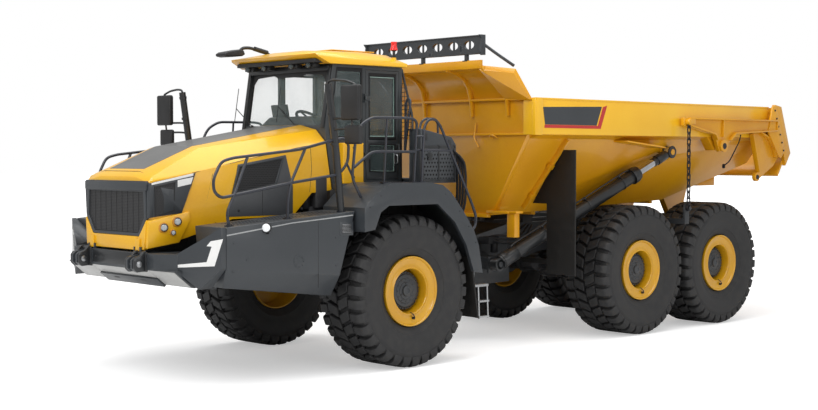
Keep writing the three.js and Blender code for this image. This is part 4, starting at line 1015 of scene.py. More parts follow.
softened("cab_shell", "front_unit", cabGrey, "dark_grey_paint", 0.008, 3)
softened("cab_roof", "front_unit", yellowPaint, "yellow_paint", 0.014, 4)
softened("door_panel", "cab_door", cabGrey, "dark_grey_paint", 0.006, 2)
softened("dashboard", "front_unit", blackPlastic, "trim_plastic", 0.010, 3)

screen = {
    "sillX": 0.708, "sillZ": 2.90, "topX": 0.585, "topZ": 3.68,
    # one half of each outline, from the middle of the top round to the sill
    "glass": [(0.24, 3.545), (0.32, 3.575), (0.66, 3.555), (0.755, 3.44), (0.755, 2.985), (0.70, 2.925)],
    "border": [(0.24, 3.66), (0.32, 3.66), (0.80, 3.66), (0.80, 3.50), (0.80, 2.96), (0.80, 2.915)],
    "pillarY": ((-0.835, -0.775), (0.775, 0.835)), "pillarDeep": 0.012,
    "pillarZ": (2.90, 3.67), "pillarLift": 0.004, "header": (0.585, 0.612, -0.80, 0.80, 3.600, 3.672),
}


def screenAt(z):
    rise = (z - screen["sillZ"]) / (screen["topZ"] - screen["sillZ"])
    return screen["sillX"] + (screen["topX"] - screen["sillX"]) * rise


def screenLine(half, lift):
    whole = [(-y, z) for y, z in half[::-1]] + half
    return [(screenAt(z) + lift, y, z) for y, z in whole]


bm = bmesh.new()
ringIn(bm, screenLine(screen["border"], -0.030), screenLine(screen["glass"], -0.030), (0.010, 0, 0))
finishPiece("screenBorder", bm, "front_unit", blackPlastic, "trim_plastic", 0.003, 2)
bm = bmesh.new()
z0, z1 = screen["pillarZ"]
x0, x1 = screenAt(z0) + screen["pillarLift"], screenAt(z1) + screen["pillarLift"]
for y0, y1 in screen["pillarY"]:
    pushedIn(bm, [(x0, y0, z0), (x0, y1, z0), (x1, y1, z1), (x1, y0, z1)], (screen["pillarDeep"], 0, 0))
boxIn(bm, *screen["header"])
finishPiece("screenPillars", bm, "front_unit", blackPaint, "dark_grey_paint", 0.006, 3)

wiper = {
    "pivotY": (0.28, -0.62), "reach": 0.40, "pivotZ": 2.935, "tipZ": 3.18, "blade": (2.99, 3.44), "armLift": 0.012,
    "armRadius": 0.006, "bladeLift": 0.010, "bladeRadius": 0.005,
}
bm = bmesh.new()
for y in wiper["pivotY"]:
    start = Vector((screenAt(wiper["pivotZ"]) + wiper["armLift"], y, wiper["pivotZ"]))
    tip = Vector((screenAt(wiper["tipZ"]) + wiper["armLift"], y - wiper["reach"], wiper["tipZ"]))
    tubeIn(bm, [tuple(start), tuple(start.lerp(tip, 0.6)), tuple(tip)], wiper["armRadius"], 8, 0.02)
    drumIn(bm, tuple(start), (1, 0, 0.17), 0.020, 0.022, 16)
    blade = [(screenAt(z) + wiper["bladeLift"], y - wiper["reach"], z) for z in wiper["blade"]]
    tubeIn(bm, blade, wiper["bladeRadius"], 8, 0.02)
finishPiece("wipers", bm, "front_unit", blackPlastic, "trim_plastic")

roof = {
    "lampY": (-0.62, -0.28, 0.28, 0.62), "lampX": 0.765, "lampZ": 3.672, "lampRadius": 0.044,
    "visor": [(0.605, 0.820, -0.80, 0.80, 3.690, 3.740), (0.60, 0.66, -0.83, 0.83, 3.676, 3.720)],
    "hatch": (-0.40, 0.30, -0.50, 0.50, 3.876, 3.890), "hatchPin": (0.26, 0.45, 3.862), "recessHalf": 0.09,
}
bm = bmesh.new()
boxesIn(bm, roof["visor"])
for y in roof["lampY"]:
    boxIn(bm, 0.66, 0.76, y - roof["recessHalf"], y + roof["recessHalf"], 3.640, 3.700)
finishPiece("roofUnderside", bm, "front_unit", blackPlastic, "trim_plastic", 0.010, 3)
housings, lenses = bmesh.new(), bmesh.new()
for y in roof["lampY"]:
    lampIn(housings, lenses, (roof["lampX"], y, roof["lampZ"]), (1, 0, -0.25), roof["lampRadius"], 0.030)
finishPiece("roofLampBodies", housings, "front_unit", blackPlastic, "trim_plastic", 0.002, 1)
finishPiece("roofLampLenses", lenses, "front_unit", cabGlass, "lamp_cover")
bm = bmesh.new()
boxIn(bm, *roof["hatch"])
drumIn(bm, roof["hatchPin"], (0, 0, 1), 0.015, 0.060, 16)
finishPiece("roofHatch", bm, "front_unit", yellowPaint, "yellow_paint", 0.006, 3)

# a soft black seal and a thin pale glass edge round every pane
pane = {
    "outlines": {
        "front": [(0.135, 2.80), (0.597, 2.80), (0.622, 2.90), (0.512, 3.60), (0.135, 3.60)],
        "door": [(-0.435, 2.795), (-0.015, 2.795), (-0.015, 3.555), (-0.435, 3.555)],
        "doorLow": [(-0.435, 2.365), (-0.225, 2.365), (-0.025, 2.375), (-0.015, 2.695), (-0.435, 2.695)],
    },
    "tint": [(0.125, 2.79), (0.598, 2.79), (0.626, 2.90), (0.514, 3.61), (0.125, 3.61)],
    "sealY": 0.8445, "edgeY": 0.8305, "sealGrow": 1.10, "edgeOuter": 0.985, "edgeInner": 0.955,
    "sealThick": 0.009, "edgeThick": 0.008, "tintY": 0.836, "tintThick": 0.006,
}


def paneRing(bm, outline, y, outer, inner, thick):
    centre = (sum(p[0] for p in outline) / len(outline), y, sum(p[1] for p in outline) / len(outline))
    line = [(x, y, z) for x, z in outline]
    ringIn(bm, drawnIn(line, centre, outer), drawnIn(line, centre, inner), (0, thick, 0))


for label, outline in pane["outlines"].items():
    body = "front_unit" if label == "front" else "cab_door"
    bm = bmesh.new()
    paneRing(bm, outline, pane["sealY"], pane["sealGrow"], 1.0, pane["sealThick"])
    finishPiece(label + "Seal", bm, body, hoseRubber, "trim_plastic", 0.003, 2)
    bm = bmesh.new()
    paneRing(bm, outline, pane["edgeY"], pane["edgeOuter"], pane["edgeInner"], pane["edgeThick"])
    finishPiece(label + "GlassEdge", bm, body, glassEdgeTint, "tinted_glass", 0.001, 1)
bm = bmesh.new()
slabIn(bm, pane["tint"], pane["tintY"], pane["tintThick"])
finishPiece("sidePaneTint", bm, "front_unit", cabGlass, "tinted_glass")

door = {
    "handle": [(-0.448, 0.848, 2.455), (-0.448, 0.888, 2.470), (-0.448, 0.888, 2.570), (-0.448, 0.848, 2.585)],
    "handleRadius": 0.009, "handlePlate": (-0.478, -0.418, 0.846, 0.853, 2.43, 2.61), "hingeZ": (2.52, 3.25),
    "trim": [(-0.485, -0.455, 0.8495, 0.8535, 2.30, 3.60), (-0.46, 0.03, 0.8495, 0.8535, 2.725, 2.775)],
}
bm = bmesh.new()
tubeIn(bm, door["handle"], door["handleRadius"], 10, 0.02)
boxIn(bm, *door["handlePlate"])
finishPiece("doorHandle", bm, "cab_door", bareSteel, "bare_steel", 0.003, 2)
bm = bmesh.new()
boxesIn(bm, door["trim"])
for z in door["hingeZ"]:
    boxIn(bm, -0.02, 0.045, 0.849, 0.860, z - 0.005, z + 0.055)
finishPiece("doorTrim", bm, "cab_door", cabGrey, "dark_grey_paint", 0.003, 2)

cabinet = {"locks": [(0.335, 0.951, 2.30), (0.335, 0.951, 2.66)], "seam": (0.172, 0.180, 0.90, 0.9515, 2.25, 2.70)}
bm = bmesh.new()
drumsIn(bm, cabinet["locks"], (0, 1, 0), 0.016, 0.008, 20)
boxIn(bm, *cabinet["seam"])
finishPiece("cabinetLatches", bm, "front_unit", blackPlastic, "trim_plastic", 0.002, 2)

dash = {"x": 0.51, "z": 2.985, "tall": 0.14, "foot": (0.26, 1.20), "top": (0.16, 0.86)}
bm = bmesh.new()
for vert in bmesh.ops.create_cube(bm, size=1.0)["verts"]:
    x, y, z = vert.co
    long, wide = dash["foot"] if z < 0 else dash["top"]
    vert.co = (dash["x"] + x * long + axleX, y * wide, dash["z"] + z * dash["tall"])
finishPiece("dashHood", bm, "front_unit", blackPlastic, "trim_plastic", 0.030, 4)

steering = {"ring": 0.203, "grip": 0.016, "tilt": -33, "place": (0.245, 0, 3.015)}
bm = bmesh.new()
ring = bmesh.ops.create_circle(bm, segments=8, radius=steering["grip"])["verts"]
bmesh.ops.rotate(bm, cent=(0, 0, 0), matrix=Matrix.Rotation(math.pi / 2, 3, "X"), verts=ring)
bmesh.ops.translate(bm, vec=(steering["ring"], 0, 0), verts=ring)
bmesh.ops.spin(bm, geom=bm.verts[:] + bm.edges[:], cent=(0, 0, 0), axis=(0, 0, 1), angle=2 * math.pi, steps=48,
               use_merge=True)
tilt = Matrix.Rotation(math.radians(steering["tilt"]), 3, "Y")
bmesh.ops.rotate(bm, cent=(0, 0, 0), matrix=tilt, verts=bm.verts)
bmesh.ops.translate(bm, vec=Vector(steering["place"]) + Vector((axleX, 0, 0)), verts=bm.verts)
finishPiece("wheelRimGrip", bm, "front_unit", hoseRubber, "trim_plastic")

control = {
    "lean": Matrix.Rotation(0.2, 3, "Y"), "stick": 0.012,
    "blocks": [(0.40, 0.47, -0.47, -0.43, 2.90, 3.05), (-0.10, 0.18, -0.46, -0.36, 2.62, 2.90),
               (-0.30, 0.12, 0.36, 0.46, 2.60, 2.86)],
    "display": (0.36, 0.41, -0.60, -0.30, 3.02, 3.22), "displayGlass": (0.352, 0.364, -0.58, -0.32, 3.035, 3.205),
    "sticks": [[(0.02, -0.41, 2.88), (0.05, -0.41, 3.00)], [(0.04, 0.41, 2.85), (0.08, 0.41, 2.97)]],
}
bm = bmesh.new()
boxIn(bm, *control["display"], control["lean"])
boxesIn(bm, control["blocks"])
for points in control["sticks"]:
    tubeIn(bm, points, control["stick"], 10)
finishPiece("cabControls", bm, "front_unit", blackPlastic, "trim_plastic", 0.008, 3)
bm = bmesh.new()
boxIn(bm, *control["displayGlass"], control["lean"])
finishPiece("cabScreen", bm, "front_unit", cabGlass, "tinted_glass", 0.003, 2)


# seat

seat = {
    # cushions: size, centre, lean and crown
    "seatCushion": ((0.50, 0.52, 0.12), (-0.13, 0, 2.610), 0.06, 0.030),
    "seatBack": ((0.66, 0.50, 0.11), (-0.375, 0, 3.010), -1.50, 0.030),
    "seatHead": ((0.17, 0.28, 0.09), (-0.405, 0, 3.455), -1.50, 0.015),
}


def cushion(name, size, centre, lean, crown):
    # a crowned, padded block: fuller in the middle of every face
    bm = bmesh.new()
    bmesh.ops.create_cube(bm, size=1.0)
    bmesh.ops.subdivide_edges(bm, edges=bm.edges, cuts=9, use_grid_fill=True)
    turn = Matrix.Rotation(lean, 3, "Y")
    for vert in bm.verts:
        x, y, z = vert.co * 2
        swell = (1 - x * x) * (1 - y * y) * crown if z > 0.5 else 0
        vert.co = turn @ Vector((x * size[0] / 2 * (1 - 0.10 * (y * y) * (z * z)),
                                 y * size[1] / 2 * (1 - 0.05 * x * x * z * z), z * size[2] / 2 + swell))
        vert.co += Vector((centre[0] + axleX, centre[1], centre[2]))
    piece = finishPiece(name, bm, "front_unit", seatCloth, "seat_fabric", smooth=80)
    soft = piece.modifiers.new("soft", "SUBSURF")
    soft.levels = soft.render_levels = 1


for name, values in seat.items():
    cushion(name, *values)
seatBase = {
    "blocks": [(-0.30, 0.02, -0.18, 0.18, 2.285, 2.540), (-0.36, 0.10, -0.24, 0.24, 2.520, 2.556),
               (-0.455, -0.425, -0.235, 0.235, 2.60, 3.30)],
    "headRodY": (0.08, -0.08),
    "arms": [(-0.33, 0.06, 0.262, 0.335, 2.785, 2.845), (-0.39, -0.33, 0.255, 0.300, 2.60, 2.84)],
}
bm = bmesh.new()
boxesIn(bm, seatBase["blocks"])
for y in seatBase["headRodY"]:
    tubeIn(bm, [(-0.43, y, 3.25), (-0.43, y, 3.45)], 0.008, 8)
finishPiece("seatFrame", bm, "front_unit", trimPlastic, "trim_plastic", 0.008, 3, replaces=("operator_seat",))
bm = bmesh.new()
boxesIn(bm, seatBase["arms"])
mirrorAll(bm)
finishPiece("armRests", bm, "front_unit", seatCloth, "seat_fabric", 0.016, 4)
print("cab made")


# rails and mirrors

rail = {"tube": 0.0175, "thin": 0.014, "bend": 0.075, "deckZ": 2.242, "rightShift": 0.360, "padHalf": (0.045, 0.030)}
mirrorPost = {
    "tube": 0.043, "clampZ": (2.70, 3.05, 3.32), "clampRadius": 0.049, "foot": 1.002,
    "arm": [(1.180, 1.5, 3.33), (1.196, 1.5, 3.420), (1.190, 1.62, 3.432), (1.180, 1.80, 3.418), (1.178, 1.955, 3.375),
            (1.178, 1.965, 3.300)],
    "shells": [(1.160, 1.228, 1.755, 2.070, 2.965, 3.365), (1.132, 1.190, 1.775, 2.055, 2.695, 2.910)],
    "faces": [(1.153, 1.163, 1.775, 2.050, 2.985, 3.345), (1.126, 1.135, 1.795, 2.035, 2.715, 2.890)],
}


def finishSide(name, bm, sign, finish, slot, *rest, **more):
    # pieces drawn on the left, thrown across when sign is -1
    bmesh.ops.scale(bm, vec=(1, sign, 1), verts=bm.verts)
    finishPiece(name, bm, "front_unit", finish, slot, *rest, **more)


def makeRails(side, sign):
    back = 0.0 if side == "left" else rail["rightShift"]
    deck = rail["deckZ"]

    def lead(x, z):
        # the front bends of the box rail, further back on the right
        return (x - back, 1.5, z + back * 0.1)

    boxRail = [(1.060, 1.5, 2.343), (1.75, 1.5, 2.257), lead(2.69, 2.109), lead(2.781, 2.175), lead(2.793, 2.304),
               lead(2.69, 2.500), lead(2.543, 2.540), (1.605, 1.5, 2.635), (1.090, 1.5, 2.751), (0.945, 1.5, 2.770),
               (0.885, 1.5, 2.700), (0.894, 1.5, 2.490), (1.001, 1.5, 2.375), (1.10, 1.5, 2.335)]
    frontPost = [lead(2.336, 2.554), lead(2.506, 2.159), lead(2.617, 1.945), (2.588 - back, 1.5, boxTop(2.588 - back))]
    midPost = [(1.533, 1.5, 2.640), (1.738, 1.5, 2.257), (1.779, 1.5, 2.067), (1.787, 1.5, boxTop(1.787))]
    deckRail = [(0.745, 1.56, 2.075), (0.884, 1.56, 2.304), (0.822, 1.56, 2.805), (0.740, 1.56, 2.930),
                (0.578, 1.56, 3.014), (-0.005, 1.56, 3.018), (-0.110, 1.56, 3.005), (-0.154, 1.56, 2.960),
                (-0.105, 1.56, deck)]
    ladderRail = [(-0.195, 1.60, deck), (-0.234, 1.60, 2.900), (-0.301, 1.60, 3.005), (-0.419, 1.60, 3.013),
                  (-0.505, 1.60, 2.940), (-1.032, 1.62, 1.984), (-1.104, 1.64, 1.793), (-1.085, 1.64, 1.660),
                  (-0.975, 1.64, 1.605)]
    kneeRail = [(-0.125, 1.56, 2.612), (0.578, 1.56, 2.611), (0.850, 1.56, 2.430)]
    thinBars = [[(0.336, 1.56, 3.012), (0.384, 1.56, deck)], [(0.880, 1.56, 2.330), (0.912, 1.5, 2.470)],
                [(-0.125, 1.56, 2.632), (-0.676, 1.607, 2.628)], [(-0.13, 1.56, 2.80), (-0.22, 1.60, 2.80)]]
    bm = bmesh.new()
    for points in (boxRail, frontPost, midPost, deckRail, kneeRail, ladderRail):
        tubeIn(bm, points, rail["tube"], 16, rail["bend"])
    for points in thinBars:
        tubeIn(bm, points, rail["thin"], 16, rail["bend"])
    feet = [frontPost[-1], midPost[-1], (-0.105, 1.56, 2.240), (0.384, 1.56, 2.240), (-0.195, 1.60, 2.240),
            (1.002, 1.5, boxTop(1.002))]
    long, wide = rail["padHalf"]
    for x, y, z in feet:
        boxIn(bm, x - long, x + long, y - wide, y + wide, z, z + 0.012)
        drumsIn(bm, [(x - 0.032, y, z + 0.016), (x + 0.032, y, z + 0.016)], (0, 0, 1), 0.009, 0.010)
    finishSide("rails_" + side, bm, sign, railPaint, "dark_grey_paint", smooth=50, replaces=("deck_rail_" + side,))

    bm = bmesh.new()
    foot = mirrorPost["foot"]
    tubeIn(bm, [(foot, 1.5, boxTop(foot)), (1.076, 1.5, 2.630), (1.193, 1.5, 3.392)], mirrorPost["tube"], 20, 0.10)
    tubeIn(bm, mirrorPost["arm"], 0.014, 12, 0.05)
    for z in (2.985, 2.860):
        tubeIn(bm, [(1.076 + (z - 2.63) * 0.15, 1.50, z), (1.150, 1.62, z + 0.01), (1.160, 1.86, z + 0.01)], 0.013, 12,
               0.04)
    for z in mirrorPost["clampZ"]:
        drumIn(bm, (foot + (z - 1.91) * 0.128, 1.5, z), (0.13, 0, 1), mirrorPost["clampRadius"], 0.030, 24)
    tubeIn(bm, [(1.185, 1.91, 2.975), (1.175, 1.91, 2.905)], 0.012, 10)
    finishSide("mirrorPost_" + side, bm, sign, blackPaint, "dark_grey_paint", smooth=50)
    bm = bmesh.new()
    boxesIn(bm, mirrorPost["shells"])
    finishSide("mirrorShells_" + side, bm, sign, blackPlastic, "trim_plastic", 0.024, 5)
    bm = bmesh.new()
    boxesIn(bm, mirrorPost["faces"])
    finishSide("mirrorFaces_" + side, bm, sign, mirrorGlass, "rod_chrome", 0.004, 2)


makeRails("left", 1)
makeRails("right", -1)
print("rails made")


# cooler boxes, guard mesh and fender fittings

softened("cooler_boxes", "front_unit", greyPaint, "dark_grey_paint", 0.014, 4)
cooler = {
    "mesh": (-0.985, -0.455, 1.3485, 1.3545, 2.275, 2.660), "barX": (-0.995, -0.72, -0.45), "barHalf": 0.012,
    "rails": [(-1.005, -0.44, 1.346, 1.362, 2.655, 2.690), (-1.005, -0.44, 1.346, 1.362, 2.235, 2.262),
              (-0.60, -0.52, 1.355, 1.375, 2.505, 2.530)],
    "louvres": 9, "louvreGap": 0.055, "louvreRise": 0.011, "latches": ((-0.50, 2.80), (-0.92, 2.72)),
    "hoops": [[(-0.60, 1.12, 2.86), (-0.64, 1.12, 2.985), (-0.70, 1.13, 3.03), (-0.86, 1.14, 3.03),
               (-0.90, 1.15, 2.98), (-0.90, 1.16, 2.78)],
              [(-0.56, 0.90, 2.60), (-0.58, 0.96, 3.10), (-0.60, 0.97, 3.26), (-0.62, 0.90, 3.30),
               (-0.62, 0.86, 3.24), (-0.60, 0.86, 2.62)]],
    "cap": (-0.56, 1.362, 2.565), "capRadius": 0.040, "hoopRadius": 0.016, "hoses": 4, "hoseY": 1.385,
    "hoseGap": 0.050, "hoseRadius": 0.017,
}
bm = bmesh.new()
boxIn(bm, *cooler["mesh"])
mirrorAll(bm)
finishPiece("coolerGrille", bm, "front_unit", boxMesh, "dark_grey_paint", 0.003, 2)
bm = bmesh.new()
for x in cooler["barX"]:
    boxIn(bm, x - cooler["barHalf"], x + cooler["barHalf"], 1.346, 1.362, 2.240, 2.700)
boxesIn(bm, cooler["rails"])
drumIn(bm, cooler["cap"], (0, 1, 0), cooler["capRadius"], 0.022, 24)
mirrorAll(bm)
finishPiece("coolerFrame", bm, "front_unit", blackPaint, "dark_grey_paint", 0.004, 2)
bm = bmesh.new()
for i in range(cooler["louvres"]):
    x, z = -0.93 + i * cooler["louvreGap"], 2.792 + i * cooler["louvreRise"]
    boxIn(bm, x, x + 0.03, 1.05, 1.30, z, z + 0.020)
for x, z in cooler["latches"]:
    boxIn(bm, x - 0.022, x + 0.022, 1.344, 1.358, z - 0.045, z + 0.045)
mirrorAll(bm)
finishPiece("coolerLouvres", bm, "front_unit", blackPaint, "dark_grey_paint", 0.003, 2)
bm = bmesh.new()
for points in cooler["hoops"]:
    tubeIn(bm, points, cooler["hoopRadius"], 14, 0.06)
mirrorAll(bm)
finishPiece("coolerHoops", bm, "front_unit", railPaint, "dark_grey_paint", smooth=50)
bm = bmesh.new()
for i in range(cooler["hoses"]):
    y = cooler["hoseY"] + i * cooler["hoseGap"]
    tubeIn(bm, [(-0.98, y - 0.09, 2.66 - i * 0.03), (-1.045, y - 0.05, 2.60 - i * 0.04), (-1.062, y - 0.04, 2.30),
                (-1.055, y - 0.04, 1.95), (-0.99, y - 0.09, 1.72)], cooler["hoseRadius"], 14, 0.12)
finishPiece("coolerHoses", bm, "front_unit", hoseRubber, "trim_plastic", smooth=60)

guard = {
    "x": -0.60, "low": 2.80, "high": 3.66, "shoulderZ": 3.06, "pitch": 0.055, "wire": 0.004, "half": 1.00,
    "topHalf": 0.80, "frame": 0.015, "stub": 0.012, "rows": 15, "columns": 36,
}
bm = bmesh.new()
for sign in (1, -1):
    side, top = guard["half"] * sign, guard["topHalf"] * sign
    tubeIn(bm, [(guard["x"], top, guard["high"]), (guard["x"], side, guard["shoulderZ"]),
                (guard["x"], side, guard["low"])], guard["frame"], 12)
    tubeIn(bm, [(guard["x"], 0.62 * sign, guard["high"]), (guard["x"], top, guard["high"])], guard["stub"], 10)
for i in range(guard["rows"]):
    z = guard["low"] + 0.02 + i * guard["pitch"]
    reach = 0.985 - max(0.0, z - guard["shoulderZ"]) * 0.333
    tubeIn(bm, [(guard["x"], -reach, z), (guard["x"], reach, z)], guard["wire"], 6)
for i in range(guard["columns"]):
    y = (i - (guard["columns"] - 1) / 2) * guard["pitch"]
    top = guard["high"] if abs(y) < guard["topHalf"] else guard["shoulderZ"] + (guard["half"] - abs(y)) * 3.0
    tubeIn(bm, [(guard["x"], y, guard["low"]), (guard["x"], y, min(top, guard["high"]))], guard["wire"], 6)
finishPiece("rearGuard", bm, "front_unit", blackPaint, "dark_grey_paint")

liner = {
    "sheet": (-0.93, 0.74, 0.978, 0.988, 1.46, 2.152), "ribX": (-0.60, -0.20, 0.20, 0.55),
    "shield": (0.98, 2.66, 0.466, 0.996, 1.343, 1.355), "beltX": (1.30, 1.80, 2.29),
}
bm = bmesh.new()
boxIn(bm, *liner["sheet"])
for x in liner["ribX"]:
    boxIn(bm, x - 0.012, x + 0.012, 0.988, 1.002, 1.50, 2.14)
mirrorAll(bm)
finishPiece("archLiners", bm, "front_unit", flapRubber, "flap_rubber", 0.006, 2)
bm = bmesh.new()
boxIn(bm, *liner["shield"])
for x in liner["beltX"]:
    boxIn(bm, x - 0.03, x + 0.03, 0.470, 0.990, 1.353, 1.375)
mirrorAll(bm)
finishPiece("bellyShields", bm, "front_unit", framePaint, "dark_grey_paint", 0.003, 2)

bulkhead = {
    "blocks": [(0.66, 0.84, -0.84, 0.84, 1.93, 2.31), (0.60, 0.90, -0.78, 0.78, 1.52, 1.95)],
    "hoseY": (0.50, 0.58, 0.66), "hoseRadius": 0.018, "tank": (0.93, 0.72, 2.05), "tankRadius": 0.07,
}
bm = bmesh.new()
boxesIn(bm, bulkhead["blocks"])
finishPiece("bulkhead", bm, "front_unit", ironFinish, "engine_iron", 0.012, 3)
bm = bmesh.new()
for y in bulkhead["hoseY"]:
    tubeIn(bm, [(0.70, y, 2.26), (0.88, y, 2.18), (0.98, y, 1.95), (0.95, y, 1.60)], bulkhead["hoseRadius"], 12, 0.08)
drumIn(bm, bulkhead["tank"], (0, 0, 1), bulkhead["tankRadius"], 0.26, 24)
mirrorAll(bm)
finishPiece("bulkheadHoses", bm, "front_unit", hoseRubber, "trim_plastic", 0.004, 2, smooth=50)
print("coolers and guards made")


# beacon and roof mirror

beacon = {
    "x": -0.42, "y": 0.85, "stalk": [(3.846, 0.018, 0.092, 20), (3.806, 0.032, 0.012, 24), (3.888, 0.034, 0.012, 24)],
    "lens": [(0.0, 3.893), (0.050, 3.893), (0.050, 3.905), (0.044, 3.914), (0.037, 3.945), (0.036, 3.975),
             (0.041, 3.990), (0.038, 4.000), (0.0, 4.003)],
}
bm = bmesh.new()
spunIn(bm, beacon["lens"], (beacon["x"], beacon["y"], 0), "Z", 40)
finishPiece("beaconLens", bm, "front_unit", redLens, "beacon_red", 0.001, 1, replaces=("beacon",))
bm = bmesh.new()
for z, radius, tall, sides in beacon["stalk"]:
    drumIn(bm, (beacon["x"], beacon["y"], z), (0, 0, 1), radius, tall, sides)
finishPiece("beaconStalk", bm, "front_unit", blackPlastic, "trim_plastic", 0.003, 2)

roofMirror = {
    "arm": [(0.443, -0.57, 3.790), (0.443, -0.57, 3.850), (0.50, -0.575, 3.885), (0.62, -0.58, 3.905),
            (0.76, -0.59, 3.945), (0.88, -0.60, 3.935), (0.93, -0.61, 3.870)],
    "sleeve": [(0.50, -0.575, 3.892), (0.70, -0.585, 3.935)], "armRadius": 0.021, "sleeveRadius": 0.030,
    "head": [(0.885, 3.850), (0.905, 3.900), (0.960, 3.912), (1.160, 3.872), (1.205, 3.846), (1.195, 3.818),
             (1.130, 3.808), (0.930, 3.826)], "headY": -0.735, "headWide": 0.215,
}
bm = bmesh.new()
tubeIn(bm, roofMirror["arm"], roofMirror["armRadius"], 16, 0.07)
tubeIn(bm, roofMirror["sleeve"], roofMirror["sleeveRadius"], 16)
finishPiece("roofMirrorArm", bm, "front_unit", blackPlastic, "trim_plastic", smooth=50, replaces=("roof_mirror",))
bm = bmesh.new()
slabIn(bm, roofMirror["head"], roofMirror["headY"], roofMirror["headWide"])
finishPiece("roofMirrorHead", bm, "front_unit", blackPlastic, "trim_plastic", 0.014, 4)
print("beacon and mirror made")


# load bed

# the whole load bed takes the darkened yellow: painted shade
softened("dump_body", "dump_bed", shadedBedPaint, "yellow_paint", 0.006, 2)
bed = {
    "frontX": -2.25, "kneeZ": 2.84, "railY": 1.65, "lowY": 0.73, "highY": 1.48, "sideOut": Vector((0, 0.825, -0.565)),
    # corner rib and hoist rib: top, foot, half width, height
    "ribs": [((-2.268, 2.84), (-2.375, 1.76), 0.045, 0.004), ((-3.037, 2.80), (-2.870, 1.86), 0.018, 0.075)],
    "strake": [(-2.33, 1.80), (-6.10, 1.90), (-6.10, 1.955), (-2.33, 1.86)],
    "pads": ((-2.96, 2.44), (-2.90, 2.03)), "padHalf": (0.045, 0.03),
    "ledges": ((2.852, 1.45, 0.042), (3.318, 1.40, 0.076)),
}


def bedSide(x, z, lift=0.0):
    # a point on the leaning side wall, lifted off it
    low = 1.745 if x > -2.4 else 1.745 + (-2.32 - x) * 0.0332
    share = (z - low) / (bed["kneeZ"] - low)
    y = bed["lowY"] + (bed["highY"] - bed["lowY"]) * share
    return (x, y + lift * bed["sideOut"].y, z + lift * bed["sideOut"].z)


def sidePatch(bm, corners, lift, thick):
    pushedIn(bm, [bedSide(x, z, lift) for x, z in corners], bed["sideOut"] * thick)


bm = bmesh.new()
for (x0, z0), (x1, z1), half, height in bed["ribs"]:
    sidePatch(bm, [(x0 - half, z0), (x0 + half, z0), (x1 + half, z1), (x1 - half, z1)], -0.006, height + 0.006)
sidePatch(bm, bed["strake"], -0.006, 0.011)
long, tall = bed["padHalf"]
for x, z in bed["pads"]:
    sidePatch(bm, [(x - long, z - tall), (x + long, z - tall), (x + long, z + tall), (x - long, z + tall)], 0.02, 0.065)
mirrorAll(bm)
finishPiece("bedSideRibs", bm, "dump_bed", shadedBedPaint, "yellow_paint", 0.005, 2)
bm = bmesh.new()
for z, y, deep in bed["ledges"]:
    boxIn(bm, bed["frontX"] - 0.02, bed["frontX"] + deep, -y, y, z - 0.016, z + 0.016)
finishPiece("bedFrontLedges", bm, "dump_bed", shadedBedPaint, "yellow_paint", 0.006, 2)

canopy = {
    "ribY": (-1.14, -0.47, 0.47, 1.14), "ribThick": 0.040,
    "rib": [(-1.715, 3.742), (-1.90, 3.712), (-2.075, 3.640), (-2.185, 3.530), (-2.232, 3.400), (-2.232, 3.100),
            (-2.196, 3.090), (-2.170, 3.330), (-2.120, 3.480), (-2.020, 3.590), (-1.880, 3.655), (-1.715, 3.690)],
    "lugs": [(-2.10, -1.08, 3.60), (-2.10, -1.08, 3.44)], "handleY": ((0.542, 0.51), (-0.51, -0.542)),
    "eyeY": (-0.88, 0.88),
}
bm = bmesh.new()
for y in canopy["ribY"]:
    slabIn(bm, canopy["rib"], y - canopy["ribThick"] / 2, canopy["ribThick"])
finishPiece("canopyRibs", bm, "dump_bed", shadedBedPaint, "yellow_paint", 0.004, 2)
bm = bmesh.new()
drumsIn(bm, canopy["lugs"], (1, 0, 0), 0.030, 0.03, 20)
for y0, y1 in canopy["handleY"]:
    y = (y0 + y1) / 2
    tubeIn(bm, [(-2.215, y0, 3.01), (-2.215, y, 2.88), (-2.195, y, 2.80), (-2.200, y1 + 0.10, 2.68)], 0.014, 12, 0.05)
for y in canopy["eyeY"]:
    tubeIn(bm, [(-2.24, y - 0.05, 2.80), (-2.18, y - 0.045, 2.83), (-2.17, y, 2.845), (-2.18, y + 0.045, 2.83),
                (-2.24, y + 0.05, 2.80)], 0.011, 12, 0.03)
finishPiece("bedHooks", bm, "dump_bed", shadedBedPaint, "yellow_paint", smooth=50)

bedRail = {
    "outline": [(-2.205, 2.845), (-7.695, 2.845), (-7.695, 3.315), (-2.205, 3.315)],
    "edges": [(-7.70, -2.205, 1.600, 1.658, 3.306, 3.328), (-2.330, -2.205, 1.640, 1.664, 2.836, 3.326),
              (-2.212, -2.196, 1.440, 1.655, 2.840, 3.322), (-2.205, -2.185, 1.600, 1.662, 2.836, 3.326)],
    "plate": [(-2.345, 3.205), (-3.560, 3.235), (-3.450, 2.975), (-2.385, 2.975)],
    "stripeLow": [(-2.372, 2.930), (-3.535, 2.930), (-3.455, 2.972), (-2.378, 2.972)],
    "stripeEnd": [(-3.458, 2.930), (-3.535, 2.930), (-3.672, 3.252), (-3.585, 3.232)],
}
# a lighter yellow skin over the top rails' outer faces: painted light where the rails catch the light
bm = bmesh.new()
slabIn(bm, bedRail["outline"], bed["railY"] - 0.003, 0.0055)
boxesIn(bm, bedRail["edges"])
mirrorAll(bm)
finishPiece("railLitFaces", bm, "dump_bed", litBedRailPaint, "yellow_paint", 0.0025, 2)
bm = bmesh.new()
slabIn(bm, bedRail["plate"], bed["railY"] + 0.001, 0.004)
mirrorAll(bm)
finishPiece("railPlates", bm, "dump_bed", greyPaint, "dark_grey_paint")
bm = bmesh.new()
slabIn(bm, bedRail["stripeLow"], bed["railY"] + 0.001, 0.0045)
slabIn(bm, bedRail["stripeEnd"], bed["railY"] + 0.001, 0.0050)
mirrorAll(bm)
finishPiece("railStripes", bm, "dump_bed", redPaint, "yellow_paint")

